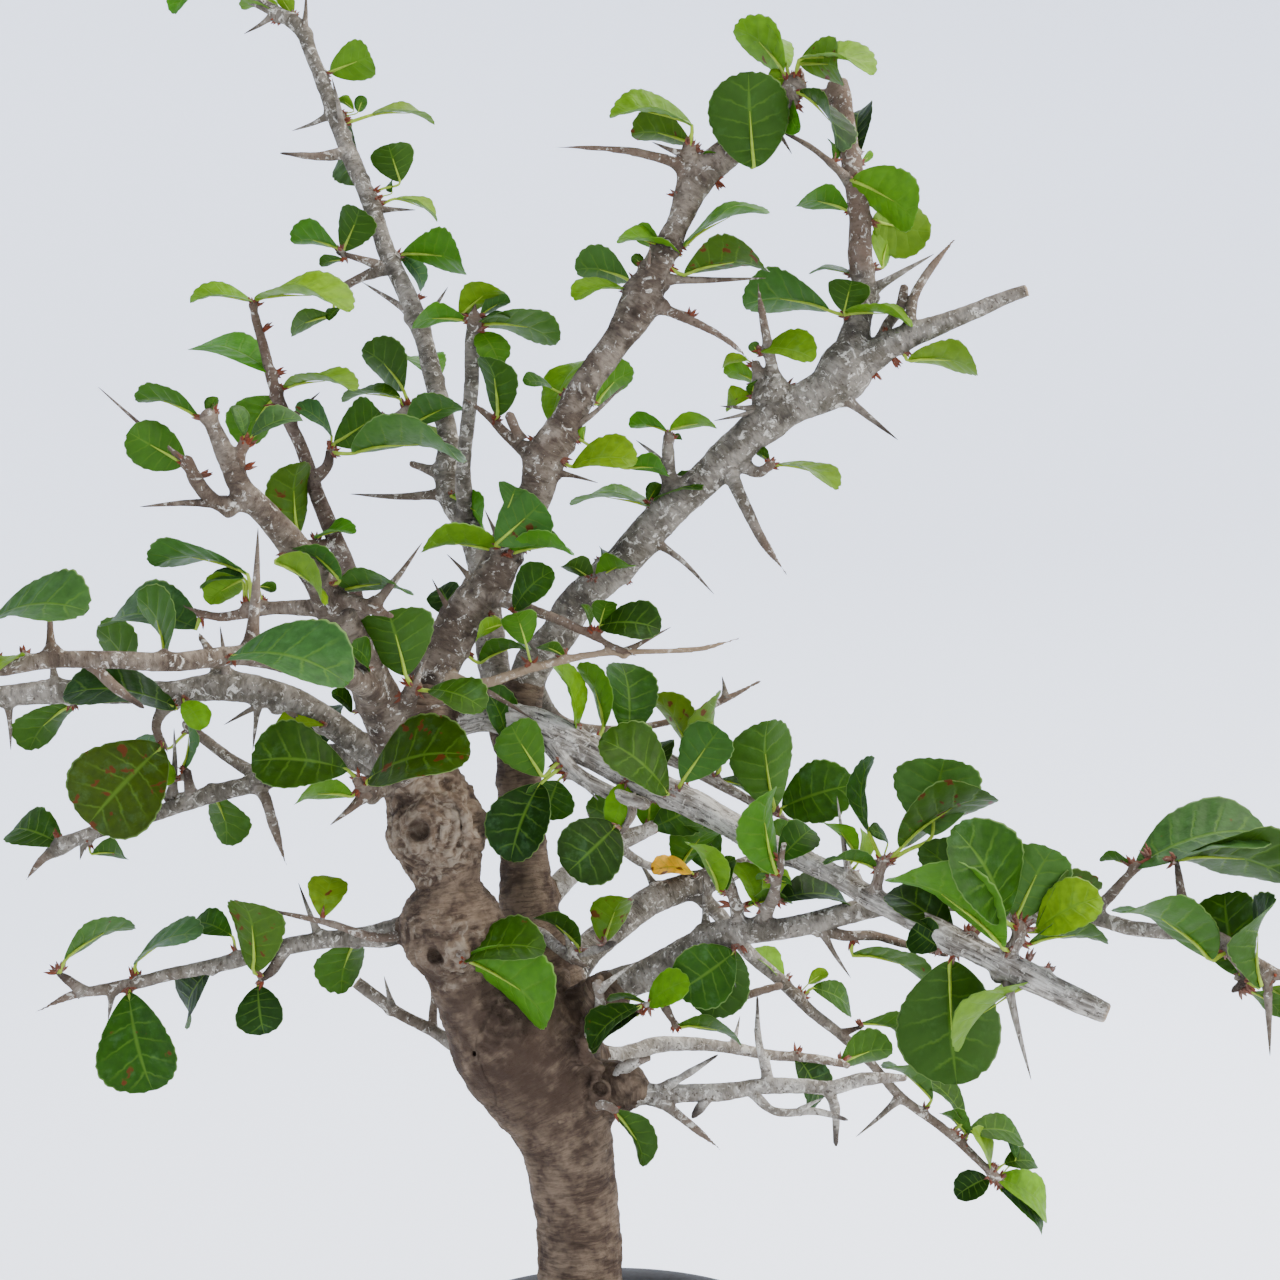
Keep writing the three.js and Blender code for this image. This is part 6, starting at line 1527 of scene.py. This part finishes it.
    def bud(self, shell: Shell, row: list[float], rng: np.random.Generator) -> None:
        """Adds the tuft of small pointed scales that a leaf grows from."""
        root = nearest_wood(self.routes, row[0], row[1])
        base = placed(row[0], row[1], root.depth + (row[6] if len(row) > 6 else 0))
        out = unit(base - root.point + 1e-6)
        start = root.point + out * root.radius * 0.85
        broad = row[4] if len(row) > 4 else 10
        for _ in range(7):
            lean = unit(out + rng.normal(0, 0.6, 3))
            size = rng.uniform(1.5, 2.9) * (0.6 + 0.4 * min(broad / 10, 1))
            line = np.array([start, start + lean * size * 0.6, start + (lean + out * 0.25) * size])
            points, _, faces = tube(Path.through(line, np.array([0.5, 0.45, 0.05]), size / 3), 5)
            marks = np.array([[0, 0, rng.uniform(0.5, 1), 0]])
            shell.add(points, faces, grain=points * MM, marks=marks, skin=np.zeros((1, 3)))


@dataclass
class Bough:
    """A bough or shoot: its wood and its leaves, in place of one CAD node."""

    name: str
    plan: dict
    seed: int

    def build(self, barks: dict[Bark, bpy.types.Material], flesh: bpy.types.Material) -> None:
        """Makes the wood piece and the leaf piece."""
        habit = HABITS.get(self.name, Habit.GREY)
        wood = Wood(
            habit, self.plan["wood"], self.plan["thorns"], self.plan["leaves"], self.plan["buds"],
            SAWN_ROUTES.get(self.name, ()), DRY_ROUTES.get(self.name, ()),
            BROWN_ABOVE.get(self.name, math.inf), seed=self.seed)
        wood.grow().build(f"{self.name}_wood", barks[habit.value[0]], "bark", self.name)
        if not self.plan["leaves"]:
            return
        shell = Shell()
        rng = np.random.default_rng(self.seed + 100)
        for i, (row, letter) in enumerate(zip(self.plan["leaves"], self.plan["tones"])):
            root = nearest_wood(self.plan["wood"], row[0], row[1])
            Leaf(root, row, i, Tone.of(letter), rng).grow(shell)
        shell.build(f"{self.name}_leaves", flesh, "leafy_wood", self.name)


@dataclass
class Trunk:
    """The trunk with its burled limb, its back limb, its scars, and a collar for each bough."""

    routes: list[list[list[float]]]
    scars: tuple = (
        (-48.5, 187.5, -19.2, 2.7), (-43.8, 156.5, -17.8, 2.2), (-3, 122.5, -11.2, 1.7),
        (-34, 132, -14, 1.3),
    )
    rings: tuple = (
        (-48.5, 187.5, -18.6, (0.25, 1, 0), 3.7, 1.1), (-47.8, 187.5, -17.2, (0.25, 1, 0), 6.2, 1.0),
        (-43.0, 188, -18.6, (-0.1, 1, 0), 7.2, 0.9), (-43.8, 156.5, -17.2, (0, 1, -0.2), 3.1, 1.1),
        (-37, 158, -18, (-0.2, 1, 0), 2.2, 0.7), (-3, 122.5, -10.4, (0.2, 1, 0), 2.2, 0.75),
    )
    knobs: tuple = (
        (-37, 158, -15.5, 2.3), (-38, 163.5, -18, 2.1), (-35, 186, -15, 3), (-33.5, 190, -12, 2.8),
        (-8, 131, -10, 2.2), (-30, 160, -12, 2.4), (-52, 194, -12, 2.8), (-13, 150, 4, 3),
        (-26, 128, -16, 2), (-40, 195, -15, 2.6), (-53, 186, -12, 2.4), (-46, 162, -13, 2.4),
        (-33, 153, -12, 2.2), (-48, 160, -9, 2.6), (-34, 168, -10, 2.2), (-29, 140, -15, 2),
        (-20, 140, -13, 2.2), (-4, 128, -9, 2.2), (-12, 138, -9.5, 2), (-7.5, 131, -12, 2.4),
        (-7, 135, -13, 2), (-6.2, 139, -13.5, 1.9), (-5.2, 143, -14, 2.2), (-4.4, 147, -14.5, 2.4),
        (-5.6, 149.5, -14.5, 1.4), (-3, 150.2, -14.5, 1.3),
    )
    # Patches of painted shade on the flare under the limbs: [x, z, depth, reach], mottled and darkest at the
    # middle.
    shaded_patches: tuple = (
        (-28, 135, -13, 15), (-16, 128, -12, 13), (-34, 146, -10, 9), (-8, 146, -6, 8), (-44, 151, -14, 5),
    )
    knurls: tuple = (
        (-48.3, 187.5, -19, 16, 1), (-36, 190, -9, 12, 0.85), (-43.5, 157, -17, 12, 0.9),
        (-37, 158, -16, 8, 0.95), (-34, 167, -8, 9, 0.7), (-27, 140, -14, 10, 0.2), (-3, 123, -11, 8, 0.75),
        (-12, 140, -8, 10, 0.2), (-46, 200, -8, 9, 0.7),
    )

    def build(self, barks: dict[Bark, bpy.types.Material]) -> None:
        """Makes the trunk as one surface, with a short collar on it where each bough starts."""
        collars = []
        for name, plan in BOUGHS.items():
            path = path_of(plan["wood"][0], 0.8)
            keep = path.along < (6 if name.startswith("shoot") else 17)
            part = Path(**{key: values[keep] for key, values in vars(path).items()})
            end = part.along[-1]
            part.radii = part.radii * np.interp(part.along, [0, 0.45 * end, end], [1.15, 1.0, 0.55])
            collars.append(part)
        wood = Wood(
            Habit.TRUNK, self.routes, pitch=0.66, fillet=2.4, collars=collars, balls=self.knobs,
            rings=self.rings, pits=self.scars, knurls=self.knurls, shaded_patches=self.shaded_patches, seed=3)
        wood.grow().build("trunk_wood", barks[TRUNK_BARK], "bark", "trunk")


@dataclass
class Pot:
    """The round stoneware pot, thrown and unglazed, with its drain holes."""

    height: float = 61.0
    radius: float = 50.0
    foot: float = 37.0
    floor: float = 6.0
    wall: float = 4.5
    rim_depth: float = 11.0
    rim_step: float = 3.0
    drain_radius: float = 5.0
    drain_circle: float = 21.0
    sides: int = 120

    def profile(self) -> np.ndarray:
        """The wall's section as [radius, height] points: foot, wall, rolled rim, inside and floor."""
        edge, high, foot, floor = self.radius, self.height, self.foot, self.floor
        neck, lip, inner = edge - self.rim_step, high - self.rim_depth, foot - self.wall
        corners = [
            (0, 0.8), (foot - 7, 0.8), (foot - 6.2, 0), (foot - 1.5, 0), (foot - 0.4, 0.5), (foot, 1.5),
            (neck - 1.2, lip - 1.4), (neck - 0.7, lip - 0.3), (edge - 1, lip + 0.9), (edge - 0.2, lip + 2),
            (edge, lip + 3.4), (edge, high - 2.2), (edge - 0.5, high - 0.9), (edge - 1.5, high - 0.2),
            (edge - 2.6, high), (edge - 4.4, high - 0.3), (edge - 5.5, high - 1.1), (edge - 6, high - 2.4),
            (inner + 1.2, floor + 1.5), (inner - 1.5, floor), (0, floor),
        ]
        rows = np.array(corners, float)
        dense = [rows[:1]]
        for a, b in zip(rows[:-1], rows[1:]):
            count = max(int(np.linalg.norm(b - a) / 1.2), 1)
            dense.append(a + (b - a) * (np.arange(1, count + 1) / count)[:, None])
        return np.concatenate(dense)

    def build(self, finish: bpy.types.Material) -> None:
        """Turns the section about the axis, with faint throwing rings, and bores the drain holes."""
        rows = self.profile()
        ridges = 0.12 * np.sin(rows[:, 1] * 1.9) + 0.08 * np.sin(rows[:, 1] * 4.7)
        r = rows[:, 0] + np.where(rows[:, 0] > self.foot, ridges, 0)
        turn = np.arange(self.sides) * 2 * math.pi / self.sides
        middle = [[0, 0, rows[0, 1]], [0, 0, rows[-1, 1]]]
        shell = Shell()
        shell.add(np.concatenate([lathe(r[1:-1], rows[1:-1, 1], turn), middle]),
                  rings_joined(len(rows) - 2, self.sides))
        pot = shell.build("pot_body", finish, "pot_ceramic", "pot")
        for i in range(4):
            angle = (i + 0.5) * math.pi / 2
            place = (self.drain_circle * math.cos(angle) * MM, self.drain_circle * math.sin(angle) * MM, 0)
            bpy.ops.mesh.primitive_cylinder_add(
                vertices=48, radius=self.drain_radius * MM, depth=30 * MM, location=place)
            cutter = bpy.context.object
            bore = pot.modifiers.new("drain", "BOOLEAN")
            bore.object, bore.operation, bore.solver = cutter, "DIFFERENCE", "EXACT"
            bpy.context.view_layer.objects.active = pot
            bpy.ops.object.modifier_apply(modifier=bore.name)
            bpy.data.objects.remove(cutter, do_unlink=True)


@dataclass
class Soil:
    """Gritty mineral soil: a lumpy bed with loose grains of baked clay, pumice and lava on it."""

    top: float = 55.0
    crown: float = 58.0
    radius: float = 43.4
    grains: int = 2600
    seed: int = 8

    def height(self, r: np.ndarray) -> np.ndarray:
        """The bed's height at a distance from the axis, falling from its crown to the wall."""
        heights = [self.crown, self.crown - 0.6, self.top + 0.8, self.top]
        return np.interp(r, [0, 20, 37.5, self.radius], heights)

    def build(self, finish: bpy.types.Material) -> None:
        """Makes the bed with its grains, each face of them flat."""
        shell = Shell()
        self.bed(shell)
        self.strew(shell)
        made = shell.build("soil_grit", finish, "soil", "soil")
        made.data.polygons.foreach_set("use_smooth", np.zeros(len(made.data.polygons), bool))

    def bed(self, shell: Shell) -> None:
        """Adds the bed: noisy rings out to the wall, then one ring down at the pot's floor."""
        rings, sides, low = 48, 160, 9
        r = np.linspace(self.radius / rings, self.radius, rings)
        turn = np.arange(sides) * 2 * math.pi / sides
        flat = lathe(r, self.height(r), turn)
        inside = np.hypot(flat[:, 0], flat[:, 1]) < self.radius - 1
        flat[:, 2] += 0.7 * layered(flat, 2.4, self.seed) * inside - 0.5
        foot = flat[-sides:] * [0.86, 0.86, 0] + [0, 0, low]
        points = np.concatenate([flat, foot, [[0, 0, self.crown], [0, 0, low]]])
        blocks = [np.roll(block[:, ::-1], 1, axis=1) for block in rings_joined(rings + 1, sides)]
        shell.add(points, blocks, own=np.array([[*linear("#2e241c")[:3], 0.0]]))

    def strew(self, shell: Shell) -> None:
        """Adds the grains along a golden-angle spiral: icosahedra, each with its own lumps and colour."""
        rng = np.random.default_rng(self.seed)
        phi = (1 + math.sqrt(5)) / 2
        corners = [np.roll((a, b, 0), shift) for shift in range(3) for b in (phi, -phi) for a in (-1, 1)]
        ico = unit(np.array(corners, float))
        faces = np.array([
            (0, 11, 5), (0, 5, 1), (0, 1, 7), (0, 7, 10), (0, 10, 11), (1, 5, 9), (5, 11, 4), (11, 10, 2),
            (10, 7, 6), (7, 1, 8), (3, 9, 4), (3, 4, 2), (3, 2, 6), (3, 6, 8), (3, 8, 9), (4, 9, 5),
            (2, 4, 11), (6, 2, 10), (8, 6, 7), (9, 8, 1),
        ])
        kinds = [linear(c)[:3] for c in ("#5f4a36", "#73604a", "#8f877a", "#44281f", "#2c2520", "#554334")]
        for n in range(self.grains):
            away = (self.radius - 1.6) * math.sqrt((n + 0.5) / self.grains)
            angle = n * GOLDEN_ANGLE + rng.normal(0, 0.1)
            size = rng.uniform(0.7, 1.55)
            shape = ico * rng.uniform(0.75, 1.2, (12, 1)) * size * rng.uniform(0.7, 1.1, 3)
            rise = float(self.height(np.array(away))) + rng.uniform(-0.5, 0.35)
            centre = np.array([away * math.cos(angle), away * math.sin(angle), rise])
            kind = kinds[rng.choice(6, p=[0.3, 0.22, 0.16, 0.1, 0.1, 0.12])]
            shell.add(shape + centre, faces, own=np.array([[*kind, 0.0]]))


@dataclass(frozen=True)
class Stoneware:
    """Unglazed dark stoneware, thrown and fired: matt and nearly black, with fine grog and a dusty film."""

    body: str = "#1d1e21"
    dust: str = "#37383b"

    def dress(self) -> bpy.types.Material:
        """Makes the material: dust in patches of 15 mm, and grog of under 1 mm in its relief."""
        material, tree = blank("unglazed_stoneware")
        where = add(tree, "TexCoord").outputs["Object"]
        film = add(tree, "TexNoise", {"Vector": where, **spread(15, 4, 0.7)})
        grog = add(tree, "TexNoise", {"Vector": where, **spread(0.9, 4, 0.5)})
        dusty = add(tree, "MapRange", {0: film, 1: 0.42, 2: 0.72, 4: 0.6})
        colours = {6: linear(self.body), 7: linear(self.dust)}
        colour = add(tree, "Mix", {0: dusty, **colours}, data_type="RGBA")
        bump = add(tree, "Bump", {"Height": grog, "Strength": 0.5, "Distance": 0.3 * MM})
        shader = add(tree, "BsdfPrincipled", {"Base Color": colour, "Roughness": 0.78, "Normal": bump})
        add(tree, "OutputMaterial", {0: shader})
        return material


@dataclass(frozen=True)
class Grit:
    """Baked clay, pumice and lava grit: dry, porous and matt, each grain its own hue."""

    def dress(self) -> bpy.types.Material:
        """Makes the material from each grain's own colour, with pores of under 1 mm."""
        material, tree = blank("mineral_grit")
        where = add(tree, "TexCoord").outputs["Object"]
        own = add(tree, "Attribute", attribute_name="own")
        pores = add(tree, "TexNoise", {"Vector": where, **spread(0.9, 5, 0.5)})
        shade = add(tree, "MapRange", {0: pores, 1: 0.3, 2: 0.7, 3: 0.7, 4: 1.25})
        colour = add(tree, "VectorMath", {0: own.outputs["Color"], "Scale": shade}, operation="SCALE")
        bump = add(tree, "Bump", {"Height": pores, "Strength": 0.7, "Distance": 0.4 * MM})
        shader = add(tree, "BsdfPrincipled", {
            "Base Color": colour, "Roughness": 0.95, "Specular IOR Level": 0.2, "Normal": bump})
        add(tree, "OutputMaterial", {0: shader})
        return material


@dataclass(frozen=True)
class MeshPlastic:
    """Moulded polypropylene mesh, dark and slightly dusty."""

    def dress(self) -> bpy.types.Material:
        """Makes the material, with moulding grain of 1 mm."""
        material, tree = blank("moulded_polypropylene")
        where = add(tree, "TexCoord").outputs["Object"]
        grain = add(tree, "TexNoise", {"Vector": where, **spread(1, 3, 0.5)})
        colours = {6: linear("#1f2422"), 7: linear("#3a403c")}
        colour = add(tree, "Mix", {0: grain, **colours}, data_type="RGBA")
        shader = add(tree, "BsdfPrincipled", {"Base Color": colour, "Roughness": 0.55})
        add(tree, "OutputMaterial", {0: shader})
        return material


@dataclass
class Studio:
    """The camera, the pale floor that curves up all round, and the soft light."""

    floor_radius: float = 1.0
    sweep: float = 0.9

    def camera(self) -> None:
        """Sets the camera level with the middle of the view, looking along +Y."""
        data = bpy.data.cameras.new("camera")
        data.lens, data.sensor_width = LENS_MM, SENSOR_MM
        data.clip_start, data.clip_end = 0.01, 20
        eye = bpy.data.objects.new("camera", data)
        eye.location = (EYE_X * MM, -EYE_DISTANCE * MM, EYE_Z * MM)
        eye.rotation_euler = (math.pi / 2, 0, 0)
        bpy.context.scene.collection.objects.link(eye)
        bpy.context.scene.camera = eye

    def floor(self) -> None:
        """Makes the floor: flat to its radius, then a quarter circle up, turned about the axis."""
        angle = np.linspace(0, math.pi / 2, 24)
        far, wide = self.floor_radius + self.sweep, 97
        r = np.concatenate([[0.02, 0.4, 0.8], self.floor_radius + self.sweep * np.sin(angle), [far]])
        z = np.concatenate([[0, 0, 0], self.sweep * (1 - np.cos(angle)), [2.2]]) - 0.0002
        points = lathe(r, z, np.linspace(0, 2 * math.pi, wide))
        i, j = np.meshgrid(np.arange(len(r) - 1), np.arange(wide - 1), indexing="ij")
        a = i * wide + j
        quads = np.stack([a, a + wide, a + wide + 1, a + 1], axis=-1).reshape(-1, 4)
        mesh = bpy.data.meshes.new("floor")
        mesh.from_pydata(points.tolist(), [], quads.tolist())
        mesh.polygons.foreach_set("use_smooth", np.ones(len(mesh.polygons), bool))
        material, tree = blank("pale_floor")
        shader = add(tree, "BsdfPrincipled", {
            "Base Color": linear("#eff3fb"), "Roughness": 0.95,
            "Emission Color": linear("#e0eaff"), "Emission Strength": 0.33})
        add(tree, "OutputMaterial", {0: shader})
        mesh.materials.append(material)
        ground = bpy.data.objects.new("floor", mesh)
        bpy.context.scene.collection.objects.link(ground)

    def light(self) -> None:
        """Sets a pale sky and three broad soft lamps: above, in front on the right, and behind."""
        world = bpy.data.worlds.new("sky")
        world.use_nodes = True
        sky = world.node_tree.nodes["Background"]
        sky.inputs[0].default_value, sky.inputs[1].default_value = linear("#e6ecf8"), 0.9
        bpy.context.scene.world = world
        for name, place, size, power, colour in (
            ("above", (0.5, 0.1, 1.4), 0.8, 27, "#fff8ee"),
            ("right", (1.2, -0.4, 0.9), 0.8, 25, "#fffaf4"),
            ("behind", (0.2, 1.1, 1.1), 0.9, 9, "#f6faff"),
        ):
            data = bpy.data.lights.new(name, "AREA")
            data.size, data.energy, data.color = size, power, linear(colour)[:3]
            lamp = bpy.data.objects.new(name, data)
            lamp.location = place
            aim = np.array([0, 0, 0.24]) - np.array(place)
            tilt = math.acos(-aim[2] / np.linalg.norm(aim))
            lamp.rotation_euler = (tilt, 0, math.atan2(aim[1], aim[0]) - math.pi / 2)
            bpy.context.scene.collection.objects.link(lamp)


def main() -> None:
    """Builds the studio, the pot, its soil and the tree."""
    studio = Studio()
    studio.camera()
    studio.floor()
    studio.light()
    Pot().build(Stoneware().dress())
    Soil().build(Grit().dress())
    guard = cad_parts["drainage_mesh"]
    guard.data.materials.clear()
    guard.data.materials.append(MeshPlastic().dress())
    barks = {habit.value[0]: habit.value[0].dress() for habit in Habit}
    flesh = LeafFlesh().dress()
    Trunk(TRUNK_WOOD).build(barks)
    for seed, (name, plan) in enumerate(BOUGHS.items()):
        Bough(name, plan, seed + 11).build(barks, flesh)


if __name__ == "__main__":
    main()
